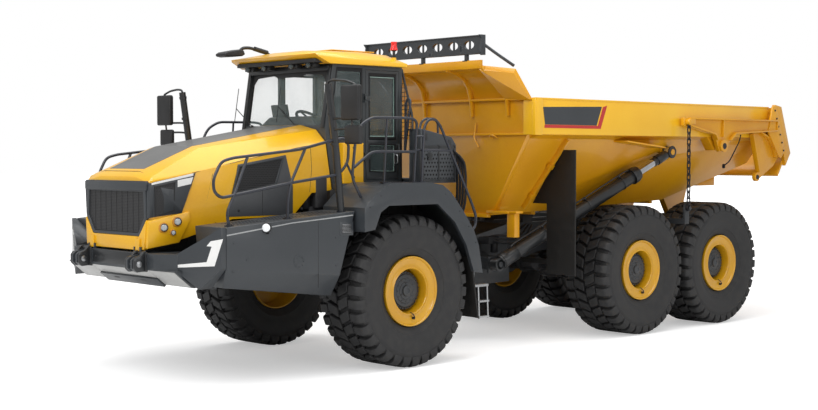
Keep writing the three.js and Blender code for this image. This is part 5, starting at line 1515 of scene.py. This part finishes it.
bedUnder = {
    "gusset": [(-4.10, 1.41, 2.775), (-4.15, 1.645, 2.775), (-5.03, 1.645, 2.690), (-5.03, 1.35, 2.690)],
    "gussetThick": 0.022, "eyeX": -5.39, "eyeZ": 2.614, "padRadius": 0.100, "pinRadius": 0.044,
    "chute": [(-7.330, 2.082), (-6.860, 2.082), (-6.860, 2.110), (-7.330, 2.225)], "bearerX": (-3.2, -4.1, -5.0, -5.9),
    "chuteHalf": 0.90, "frontBearer": (-2.35, -2.27, -0.70, 0.70, 1.715, 1.765),
    "guides": [(-2.40, -2.30, 1.05, 1.19, 1.46, 1.80), (-2.42, -2.28, 1.00, 1.24, 1.785, 1.815),
               (-2.44, -2.26, 0.70, 1.10, 1.780, 1.812)],
}
bm = bmesh.new()
pushedIn(bm, bedUnder["gusset"], (0, 0, -bedUnder["gussetThick"]))
drumIn(bm, (bedUnder["eyeX"], 1.355, bedUnder["eyeZ"]), (0, 1, 0), bedUnder["padRadius"], 0.030, 32)
drumIn(bm, (bedUnder["eyeX"], 1.508, bedUnder["eyeZ"]), (0, 1, 0), bedUnder["pinRadius"], 0.012, 28)
mirrorAll(bm)
finishPiece("hoistGussets", bm, "dump_bed", shadedBedPaint, "yellow_paint", 0.004, 2)
bm = bmesh.new()
slabIn(bm, bedUnder["chute"], -bedUnder["chuteHalf"], 2 * bedUnder["chuteHalf"])
for x in bedUnder["bearerX"]:
    z = 1.700 + (-x - 2.35) * 0.034
    boxIn(bm, x - 0.04, x + 0.04, -0.72, 0.72, z, z + 0.070)
boxIn(bm, *bedUnder["frontBearer"])
finishPiece("bedBearers", bm, "dump_bed", shadedBedPaint, "yellow_paint", 0.006, 2)
bm = bmesh.new()
boxesIn(bm, bedUnder["guides"])
mirrorAll(bm)
finishPiece("bedGuides", bm, "dump_bed", shadedBedPaint, "yellow_paint", 0.006, 2)
print("bed made")


# light bar

lampBar = {
    "x0": -1.760, "x1": -1.712, "half": 1.140, "low": 3.900, "high": 4.150, "holes": 7, "wide": 0.098, "tall": 0.056,
    "postY": (-0.84, 0.0, 0.84), "stayRadius": 0.021,
    "end": [(-1.765, 3.885), (-1.690, 3.880), (-1.660, 3.930), (-1.690, 4.100), (-1.650, 4.148), (-1.700, 4.150),
            (-1.765, 4.150)],
}
pitch = 2 * lampBar["half"] / (lampBar["holes"] + 0.6)
cells = [(i - lampBar["holes"] / 2) * pitch for i in range(lampBar["holes"] + 1)]
middleZ = (lampBar["low"] + lampBar["high"]) / 2
halfZ = (lampBar["high"] - lampBar["low"]) / 2
bm = bmesh.new()
for y0, y1 in zip(cells, cells[1:]):
    rim, edge = [], []
    for t in range(32):
        angle = 2 * math.pi * (t + 0.5) / 32
        c, s = math.cos(angle), math.sin(angle)
        reach = min((y1 - y0) / 2 / abs(c), halfZ / abs(s))
        rim.append((lampBar["x0"], (y0 + y1) / 2 + lampBar["wide"] * c, middleZ + lampBar["tall"] * s))
        edge.append((lampBar["x0"], (y0 + y1) / 2 + reach * c, middleZ + reach * s))
    ringIn(bm, edge, rim, (lampBar["x1"] - lampBar["x0"], 0, 0))
for sign in (1, -1):
    boxIn(bm, lampBar["x0"], lampBar["x1"], cells[-1] * sign, lampBar["half"] * sign, lampBar["low"], lampBar["high"])
finishPiece("lampBar", bm, "dump_bed", greyPaint, "dark_grey_paint", replaces=("light_bar",), smooth=30)
bm = bmesh.new()
for y0, y1 in zip(cells, cells[1:]):
    drumIn(bm, (-1.736, (y0 + y1) / 2, middleZ), (0, 0, 1), 0.015, 0.14, 14)
for y in lampBar["postY"]:
    boxIn(bm, lampBar["x0"], lampBar["x1"], y - 0.022, y + 0.022, 3.815, 3.915)
    boxIn(bm, -1.775, -1.697, y - 0.045, y + 0.045, 3.812, 3.826)
for sign in (1, -1):
    slabIn(bm, lampBar["end"], 1.135 * sign, 0.026 * sign)
    tubeIn(bm, [(-1.75, 1.10 * sign, 4.05), (-1.90, 1.22 * sign, 3.91), (-2.08, 1.38 * sign, 3.745)],
           lampBar["stayRadius"], 14)
for z0, z1 in ((4.132, 4.150), (3.900, 3.914)):
    boxIn(bm, lampBar["x0"] - 0.004, lampBar["x1"] + 0.012, -1.13, 1.13, z0, z1)
finishPiece("lampBarFittings", bm, "dump_bed", greyPaint, "dark_grey_paint", 0.003, 2)
print("light bar made")


# tailgate

softened("tailgate", "tailgate_arms", shadedBedPaint, "yellow_paint", 0.006, 2)
gate = {
    "pivot": (-6.30, 2.705), "wingY": 1.664, "wingEye": (-7.300, 2.225),
    "arms": [[(-7.762, 2.964), (-6.600, 2.912), (-6.455, 2.800), (-6.480, 2.784), (-6.615, 2.890), (-7.762, 2.942)],
             [(-6.150, 2.800), (-6.080, 2.895), (-5.430, 3.020), (-5.430, 2.998), (-6.070, 2.873), (-6.128, 2.790)]],
    "armBoxes": [(-7.762, -5.425, 1.735, 1.802, 3.096, 3.118), (-6.296, -6.274, 1.735, 1.792, 2.840, 3.100),
                 (-5.444, -5.420, 1.735, 1.795, 3.000, 3.110), (-7.764, -7.740, 1.735, 1.795, 2.955, 3.110)],
    "corner": [(-7.530, 2.930), (-7.640, 3.330), (-7.745, 3.350), (-8.010, 2.655), (-7.893, 2.520), (-7.830, 2.552)],
    "wing": [(-7.150, 2.895), (-7.325, 2.304), (-7.270, 2.185), (-7.330, 2.165), (-7.790, 2.395), (-7.960, 2.560),
             (-7.860, 2.900), (-7.500, 2.960)],
    "ledge": [(-7.165, 2.900), (-7.345, 2.300), (-7.325, 2.296), (-7.143, 2.896)],
    "bend": [(-7.40, 2.93), (-7.62, 2.86), (-7.78, 2.70), (-7.83, 2.54), (-7.80, 2.53), (-7.745, 2.685),
             (-7.60, 2.83), (-7.40, 2.905)],
    "chainEye": (-5.40, 1.785, 3.052), "chainPad": (-5.55, -5.38, 1.752, 1.800, 3.020, 3.098),
    "cable": [(-6.86, 1.700, 2.88), (-6.84, 1.690, 2.78), (-6.62, 1.660, 2.47), (-6.55, 1.600, 2.40)],
    "cableEnd": (-6.56, 1.600, 2.40), "boltTop": Vector((-7.700, 1.772, 3.270)),
    "boltLow": Vector((-7.955, 1.772, 2.640)), "bolts": 6,
}
pivotX, pivotZ = gate["pivot"]
eyeX, eyeZ = gate["wingEye"]
bm = bmesh.new()
boxesIn(bm, gate["armBoxes"])
for outline in gate["arms"]:
    slabIn(bm, outline, 1.735, 0.062)
drumIn(bm, (pivotX, 1.765, pivotZ), (0, 1, 0), 0.092, 0.050, 36)
slabIn(bm, gate["corner"], 1.738, 0.030)
mirrorAll(bm)
finishPiece("gateFlanges", bm, "tailgate_arms", shadedBedPaint, "yellow_paint", 0.004, 2)
bm = bmesh.new()
for label, thick in (("wing", 0.024), ("ledge", 0.080), ("bend", 0.075)):
    slabIn(bm, gate[label], gate["wingY"], thick)
drumIn(bm, (eyeX, 1.690, eyeZ), (0, 1, 0), 0.066, 0.056, 32)
mirrorAll(bm)
finishPiece("gateWings", bm, "tailgate_arms", shadedBedPaint, "yellow_paint", 0.004, 2)
bm = bmesh.new()
for i in range(gate["bolts"]):
    spot = gate["boltTop"].lerp(gate["boltLow"], i / (gate["bolts"] - 1))
    drumIn(bm, spot, (0, 1, 0), 0.016, 0.016, 6)
drumIn(bm, (pivotX, 1.790, pivotZ), (0, 1, 0), 0.046, 0.016, 28)
drumIn(bm, (pivotX, 1.800, pivotZ), (0, 1, 0), 0.012, 0.012, 6)
drumIn(bm, (eyeX, 1.722, eyeZ), (0, 1, 0), 0.036, 0.014, 24)
mirrorAll(bm)
finishPiece("gateBolts", bm, "tailgate_arms", darkSteel, "chain_steel", 0.002, 1)
bm = bmesh.new()
boxIn(bm, *gate["chainPad"])
drumIn(bm, gate["chainEye"], (0, 1, 0), 0.045, 0.070, 24)
mirrorAll(bm)
finishPiece("gateChainEyes", bm, "tailgate_arms", shadedBedPaint, "yellow_paint", 0.005, 2)
bm = bmesh.new()
tubeIn(bm, gate["cable"], 0.009, 10, 0.05)
drumIn(bm, gate["cableEnd"], (0.4, 0.3, 0.6), 0.024, 0.05, 16)
finishPiece("gateCable", bm, "dump_bed", hoseRubber, "trim_plastic", smooth=50)

gateBack = {
    "ribs": (-1.45, -0.87, -0.29, 0.29, 0.87, 1.45), "ribHalf": 0.030,
    "line": [(-7.920, 3.305), (-8.168, 2.617), (-7.930, 2.245)],
    "proud": [(-0.016, 0.004), (-0.018, -0.002), (-0.012, -0.010)],
    "rails": ((-7.935, 3.270, 0.040), (-8.172, 2.617, 0.030), (-7.950, 2.285, 0.030)),
}
bm = bmesh.new()
for y in gateBack["ribs"]:
    inner = [(x + 0.006, z) for x, z in gateBack["line"]]
    outer = [(x + dx, z + dz) for (x, z), (dx, dz) in zip(gateBack["line"], gateBack["proud"])]
    for i in range(2):
        slabIn(bm, [inner[i], inner[i + 1], outer[i + 1], outer[i]], y - gateBack["ribHalf"], 2 * gateBack["ribHalf"])
for x, z, tall in gateBack["rails"]:
    boxIn(bm, x - 0.010, x + 0.030, -1.66, 1.66, z - tall, z + tall)
finishPiece("gateBackRibs", bm, "tailgate_arms", shadedBedPaint, "yellow_paint", 0.004, 2)
print("tailgate made")


# chains

chain = {
    "x": -5.40, "y": 1.785, "top": 3.020, "low": 1.850, "pitch": 0.086, "halfLong": 0.032, "round": 0.024,
    "wire": 0.0105, "pinZ": 1.790, "bracketY": 1.722, "boltSpots": [(-5.44, 1.753, 1.62), (-5.44, 1.753, 1.70)],
    "bracket": [(-5.360, 1.56), (-5.470, 1.56), (-5.470, 1.80), (-5.440, 1.865), (-5.380, 1.865), (-5.340, 1.78)],
}


def linkIn(bm, place, across):
    # a ring spun from its wire, then pulled long; every other link lies across
    before = set(bm.verts)
    wire = bmesh.ops.create_circle(bm, segments=6, radius=chain["wire"])["verts"]
    bmesh.ops.rotate(bm, cent=(0, 0, 0), matrix=Matrix.Rotation(math.pi / 6, 3, "Z"), verts=wire)
    bmesh.ops.translate(bm, vec=(chain["round"], 0, 0), verts=wire)
    edges = list({e for v in wire for e in v.link_edges})
    bmesh.ops.spin(bm, geom=wire + edges, cent=(0, 0, 0), axis=(0, 1, 0), angle=2 * math.pi, steps=16, use_merge=True)
    made = [v for v in bm.verts if v not in before]
    for vert in made:
        upper = vert.co.z > 0.0001 or (vert.co.z > -0.0001 and vert.co.x > 0)
        vert.co.z += chain["halfLong"] if upper else -chain["halfLong"]
    if across:
        bmesh.ops.rotate(bm, cent=(0, 0, 0), matrix=Matrix.Rotation(math.pi / 2, 3, "Z"), verts=made)
    bmesh.ops.translate(bm, vec=place, verts=made)


def makeChain(side, sign):
    bm = bmesh.new()
    x, y = chain["x"], chain["y"] * sign
    for i in range(int((chain["top"] - chain["low"]) / chain["pitch"]) + 1):
        linkIn(bm, (x + axleX, y, chain["top"] - i * chain["pitch"]), i % 2)
    drumIn(bm, (x, y, chain["pinZ"]), (0, 1, 0), 0.046, 0.034, 20)
    boxIn(bm, x - 0.025, x + 0.025, y - 0.017, y + 0.017, chain["pinZ"], chain["pinZ"] + 0.080)
    finishPiece("chainLinks_" + side, bm, "gate_chain_" + side, darkSteel, "chain_steel", smooth=60,
                replaces=("chain_" + side,))


makeChain("left", 1)
makeChain("right", -1)
bm = bmesh.new()
slabIn(bm, chain["bracket"], chain["bracketY"], 0.028)
drumIn(bm, (chain["x"], 1.815, chain["pinZ"]), (0, 1, 0), 0.030, 0.012, 20)
drumsIn(bm, chain["boltSpots"], (0, 1, 0), 0.014, 0.012)
mirrorAll(bm)
finishPiece("chainBrackets", bm, "rear_unit", framePaint, "dark_grey_paint", 0.004, 2)
print("chains made")


# cylinders

hoist = {
    "base": (-2.32, 0.85, 1.08), "eye": (-5.39, 1.445, 2.614), "tube": 0.098, "collar": 0.122,
    "bands": (0.90, 1.75, 2.45), "pipe": [(0.30, 0.100), (0.34, 0.128), (2.60, 0.128), (2.66, 0.105)],
    "pipeRadius": 0.013, "cheeks": (-0.050, 0.050), "cheekRadius": 0.092,
}


def makeHoist(side, sign):
    base, eye = [Vector((x, y * sign, z)) for x, y, z in (hoist["base"], hoist["eye"])]
    aim = (eye - base).normalized()
    across = Vector((0, 1, 0))
    up = aim.cross(across).normalized()
    if up.z < 0:
        up.negate()
    bm = bmesh.new()
    # place along the tube, radius and length of each collar
    for along, radius, length in ((0.22, hoist["tube"] + 0.006, 0.26), (2.70, hoist["collar"], 0.085),
                                  (2.765, hoist["tube"] + 0.008, 0.05)):
        drumIn(bm, base + aim * along, aim, radius, length, 36)
    for along in hoist["bands"]:
        drumIn(bm, base + aim * along, aim, hoist["tube"] + 0.004, 0.030, 36)
        drumIn(bm, base + aim * along + up * (hoist["tube"] + 0.020), up, 0.022, 0.040, 8)
    pipe = [tuple(base + aim * along + up * off) for along, off in hoist["pipe"]]
    tubeIn(bm, pipe, hoist["pipeRadius"], 12, 0.03)
    finishPiece("hoistFittings_" + side, bm, "hoist_tube_" + side, blackPaint, "dark_grey_paint", 0.003, 2, smooth=40)
    bm = bmesh.new()
    drumIn(bm, eye - aim * 0.19, aim, 0.076, 0.20, 32, 0.070)
    drumIn(bm, eye - aim * 0.33, aim, 0.066, 0.06, 32)
    for offset in hoist["cheeks"]:
        drumIn(bm, eye + across * offset, across, hoist["cheekRadius"], 0.020, 32)
    finishPiece("hoistEye_" + side, bm, "hoist_piston_" + side, blackPaint, "dark_grey_paint", 0.004, 2, smooth=40)
    softened("hoist_barrel_" + side, "hoist_tube_" + side, blackPaint, "dark_grey_paint", 0.004, 2)
    softened("steer_barrel_" + side, "steer_tube_" + side, framePaint, "dark_grey_paint", 0.003, 2)


makeHoist("left", 1)
makeHoist("right", -1)
print("cylinders made")


# frames, hitch and driveline

softened("rear_frame", "rear_unit", framePaint, "dark_grey_paint", 0.008, 2)
softened("front_frame", "front_unit", framePaint, "dark_grey_paint", 0.006, 2)
softened("hitch", "hitch_casting", framePaint, "dark_grey_paint", 0.010, 3)
for side in ("left", "right"):
    softened("rear_mud_flap_" + side, "rear_unit", flapRubber, "flap_rubber", 0.008, 3)
    softened("front_mud_flap_" + side, "front_unit", flapRubber, "flap_rubber", 0.005, 2)


def boltRing(count, reach):
    # offsets of evenly spaced bolts round a flange
    for i in range(count):
        angle = 2 * math.pi * i / count
        yield reach * math.cos(angle), reach * math.sin(angle)


hinge = {
    "x": -1.35, "capZ": ((1.487, 0.018), (0.600, -0.018)), "capRadius": 0.105, "capRing": 0.082,
    "rollX": -2.262, "rollZ": 1.04, "rollRing": 0.262, "rollBolts": 16,
    "hoses": 5, "hoseGap": 0.080, "hoseRadius": 0.021, "bendFrom": -1.08, "bendTo": -1.62,
}
bm = bmesh.new()
for z, boltLift in hinge["capZ"]:
    drumIn(bm, (hinge["x"], 0, z), (0, 0, 1), hinge["capRadius"], 0.030, 36)
    for dx, dy in boltRing(8, hinge["capRing"]):
        drumIn(bm, (hinge["x"] + dx, dy, z + boltLift), (0, 0, 1), 0.010, 0.012, 6)
finishPiece("kingPinCaps", bm, "front_unit", ironFinish, "engine_iron", 0.003, 2)
bm = bmesh.new()
for dy, dz in boltRing(hinge["rollBolts"], hinge["rollRing"]):
    drumIn(bm, (hinge["rollX"], dy, hinge["rollZ"] + dz), (1, 0, 0), 0.014, 0.022, 6)
finishPiece("rollRingBolts", bm, "rear_unit", ironFinish, "engine_iron", 0.002, 1)
bm = bmesh.new()
for i in range(hinge["hoses"]):
    y = (i - hinge["hoses"] // 2) * hinge["hoseGap"]
    drop = 0.05 * (i % 2)
    tubeIn(bm, [(-0.80, y, 1.50), (-0.98, y, 1.56), (-1.30, y * 1.15, 1.58 - drop), (-1.62, y * 1.1, 1.52 - drop),
                (-1.92, y, 1.43), (-2.14, y, 1.39)], hinge["hoseRadius"], 14, 0.10)
hoseBend = ("front_unit", "hitch_casting", (axleX + hinge["bendFrom"], 0, 1.5), (axleX + hinge["bendTo"], 0, 1.5))
finishPiece("hitchHoses", bm, hoseBend, hoseRubber, "trim_plastic", smooth=60)

rearHose = {
    "drops": (0.0, 0.05, 0.10), "y": 0.50, "gap": 0.06, "radius": 0.016,
    "manifold": (-2.56, -2.36, 0.46, 0.66, 1.34, 1.44), "filter": (-2.50, 0.62, 1.30),
}
bm = bmesh.new()
for i, drop in enumerate(rearHose["drops"]):
    y = rearHose["y"] + i * rearHose["gap"]
    tubeIn(bm, [(-2.42, y, 1.40), (-2.52, y + 0.12, 1.46 - drop), (-2.72, y + 0.20, 1.44 - drop),
                (-3.02, y + 0.12, 1.52 - drop), (-3.30, y - 0.02, 1.58)], rearHose["radius"], 12, 0.10)
boxIn(bm, *rearHose["manifold"])
drumIn(bm, rearHose["filter"], (0, 0, 1), 0.05, 0.16, 24)
mirrorAll(bm)
finishPiece("rearHoses", bm, "rear_unit", hoseRubber, "trim_plastic", 0.004, 2, smooth=50)

axle = {
    "rearX": (-4.50, -6.43), "z": 0.925, "flangeY": 0.62, "flange": 0.165, "bogie": (-5.465, 0.836, 1.150),
    "bogieFlange": 0.130, "coupling": (-4.10, -4.86, -6.07), "couplingZ": 0.935,
    "bulb": [(0.0, -0.235), (0.070, -0.228), (0.120, -0.205), (0.165, -0.170), (0.190, -0.150), (0.206, 0.0),
             (0.190, 0.150), (0.150, 0.190), (0.090, 0.215), (0.0, 0.220)],
}


def makeFlanges(name, body, places):
    # places: x, y, z and radius of each flange on the left
    bm = bmesh.new()
    for x, y, z, size in places:
        drumIn(bm, (x, y, z), (0, 1, 0), size, 0.040, 32)
        for dx, dz in boltRing(12, size - 0.022):
            drumIn(bm, (x + dx, y + 0.024, z + dz), (0, 1, 0), 0.012, 0.014, 6)
    mirrorAll(bm)
    finishPiece(name, bm, body, ironFinish, "engine_iron", 0.003, 1)


rearPlaces = [(x, axle["flangeY"], axle["z"], axle["flange"]) for x in axle["rearX"]]
makeFlanges("frontAxleFlanges", "front_unit", [(0.0, axle["flangeY"], axle["z"], axle["flange"])])
makeFlanges("rearAxleFlanges", "rear_unit", rearPlaces + [(*axle["bogie"], axle["bogieFlange"])])

bm = bmesh.new()
for x in axle["rearX"]:
    spunIn(bm, axle["bulb"], (x, 0, axle["z"]), "X", 36)
for x in axle["coupling"]:
    drumIn(bm, (x, 0, axle["couplingZ"]), (1, 0, 0), 0.092, 0.030, 28)
    drumIn(bm, (x, 0, axle["couplingZ"]), (1, 0, 0), 0.075, 0.120, 28)
finishPiece("rearDrives", bm, "rear_unit", ironFinish, "engine_iron", 0.003, 2, smooth=40)
bm = bmesh.new()
spunIn(bm, axle["bulb"], (0, 0, axle["z"]), "X", 36)
finishPiece("frontDrive", bm, "front_unit", ironFinish, "engine_iron", 0.003, 2, smooth=40)
print("frames made")


# tail lamps and front struts

tailLamp = {"body": (-6.972, -6.945, 0.325, 0.436, 1.486, 1.634), "y": 0.380, "z": (1.598, 1.560, 1.522)}
housings, lenses = bmesh.new(), bmesh.new()
boxIn(housings, *tailLamp["body"])
for z in tailLamp["z"]:
    drumIn(lenses, (-6.974, tailLamp["y"], z), (-1, 0, 0), 0.016, 0.012, 20)
mirrorAll(housings)
mirrorAll(lenses)
finishPiece("tailLampBodies", housings, "rear_unit", blackPlastic, "trim_plastic", 0.004, 2)
finishPiece("tailLampLenses", lenses, "rear_unit", redLens, "lamp_cover", 0.002, 1)

strut = {
    "y": 0.540, "bracket": (-0.05, 0.05, 0.440, 0.560, 1.515, 1.565),
    # height, radius and length of the tube and its two collars
    "tube": [(1.360, 0.062, 0.360), (1.540, 0.074, 0.050), (1.190, 0.070, 0.040)], "rod": (1.110, 0.040, 0.160),
}
bm = bmesh.new()
for z, radius, length in strut["tube"]:
    drumIn(bm, (0.0, strut["y"], z), (0, 0, 1), radius, length, 28)
boxIn(bm, *strut["bracket"])
mirrorAll(bm)
finishPiece("strutTubes", bm, "front_unit", blackPaint, "dark_grey_paint", 0.004, 2, smooth=40)
bm = bmesh.new()
z, radius, length = strut["rod"]
drumIn(bm, (0.0, strut["y"], z), (0, 0, 1), radius, length, 24)
mirrorAll(bm)
finishPiece("strutRods", bm, "front_unit", chromeRod, "rod_chrome", smooth=40)
print("undercarriage made")


# studio

view = {"place": (11.262, 13.727, 2.580), "yaw": 47.157, "pitch": 2.117, "lens": 60.34, "sensor": 36, "far": 400}
camera = bpy.data.objects.new("camera", bpy.data.cameras.new("camera"))
bpy.context.scene.collection.objects.link(camera)
camera.location = (view["place"][0] + axleX, view["place"][1], view["place"][2])
yaw, pitch = math.radians(view["yaw"]), math.radians(view["pitch"])
aim = Vector((-math.cos(yaw) * math.cos(pitch), -math.sin(yaw) * math.cos(pitch), -math.sin(pitch)))
camera.rotation_euler = aim.to_track_quat("-Z", "Y").to_euler()
camera.data.lens = view["lens"]
camera.data.sensor_width = view["sensor"]
camera.data.clip_end = view["far"]
bpy.context.scene.camera = camera

studio = {
    # each light: place, size and power
    "topLight": ((1.0, 1.0, 11.0), (13, 9), 860), "keyLight": ((11.0, 3.0, 9.0), (6, 6), 520),
    "fillLight": ((2.0, 14.0, 5.0), (9, 5), 260),
    "target": (0, 0, 1.2), "skyLevel": 0.60, "floorTone": 0.86, "floorLift": 0.42, "floorHalf": 150,
}


def softLight(name, place, size, power):
    data = bpy.data.lights.new(name, "AREA")
    data.shape = "RECTANGLE"
    data.size, data.size_y = size
    data.energy = power
    lamp = bpy.data.objects.new(name, data)
    bpy.context.scene.collection.objects.link(lamp)
    lamp.location = place
    lamp.rotation_euler = (Vector(studio["target"]) - Vector(place)).to_track_quat("-Z", "Y").to_euler()


for name in ("topLight", "keyLight", "fillLight"):
    softLight(name, *studio[name])

world = bpy.data.worlds.new("studio")
bpy.context.scene.world = world
world.use_nodes = True
worldTree = world.node_tree
sky = worldTree.nodes["Background"]
sky.inputs["Color"].default_value = (1, 1, 1, 1)
rays = worldTree.nodes.new("ShaderNodeLightPath")
shown = worldTree.nodes.new("ShaderNodeMath")
shown.operation = "MAXIMUM"
worldTree.links.new(rays.outputs["Is Camera Ray"], shown.inputs[0])
worldTree.links.new(rays.outputs["Is Transmission Ray"], shown.inputs[1])
level = worldTree.nodes.new("ShaderNodeMapRange")
worldTree.links.new(shown.outputs[0], level.inputs["Value"])
level.inputs["To Min"].default_value = studio["skyLevel"]
level.inputs["To Max"].default_value = 1.0
worldTree.links.new(level.outputs[0], sky.inputs["Strength"])


def floorFinish():
    # pale near the truck, plain white far away, so that no horizon shows
    finish = Finish("floor", 0.9, Specular_IOR_Level=0.0)
    tone = studio["floorTone"]
    finish.set("Base Color", (tone, tone, tone, 1))
    seen = Num(finish, finish.add("ShaderNodeLightPath").outputs["Is Camera Ray"])
    x, y, z = finish.place()
    away = (x * x + y * y).ramp(20.0, 260.0)
    lift = seen * (away * (1 - studio["floorLift"]) + studio["floorLift"])
    finish.set("Emission Color", finish.mix(lift, (0, 0, 0, 1), (1, 1, 1, 1)))
    finish.set("Emission Strength", 1.0)
    return finish


bm = bmesh.new()
bmesh.ops.create_grid(bm, x_segments=1, y_segments=1, size=studio["floorHalf"])
floorMesh = bpy.data.meshes.new("floor")
bm.to_mesh(floorMesh)
bm.free()
floor = bpy.data.objects.new("floor", floorMesh)
bpy.context.scene.collection.objects.link(floor)
floorMesh.materials.append(floorFinish().material)
bpy.context.scene.view_settings.view_transform = "Standard"
print("studio made")
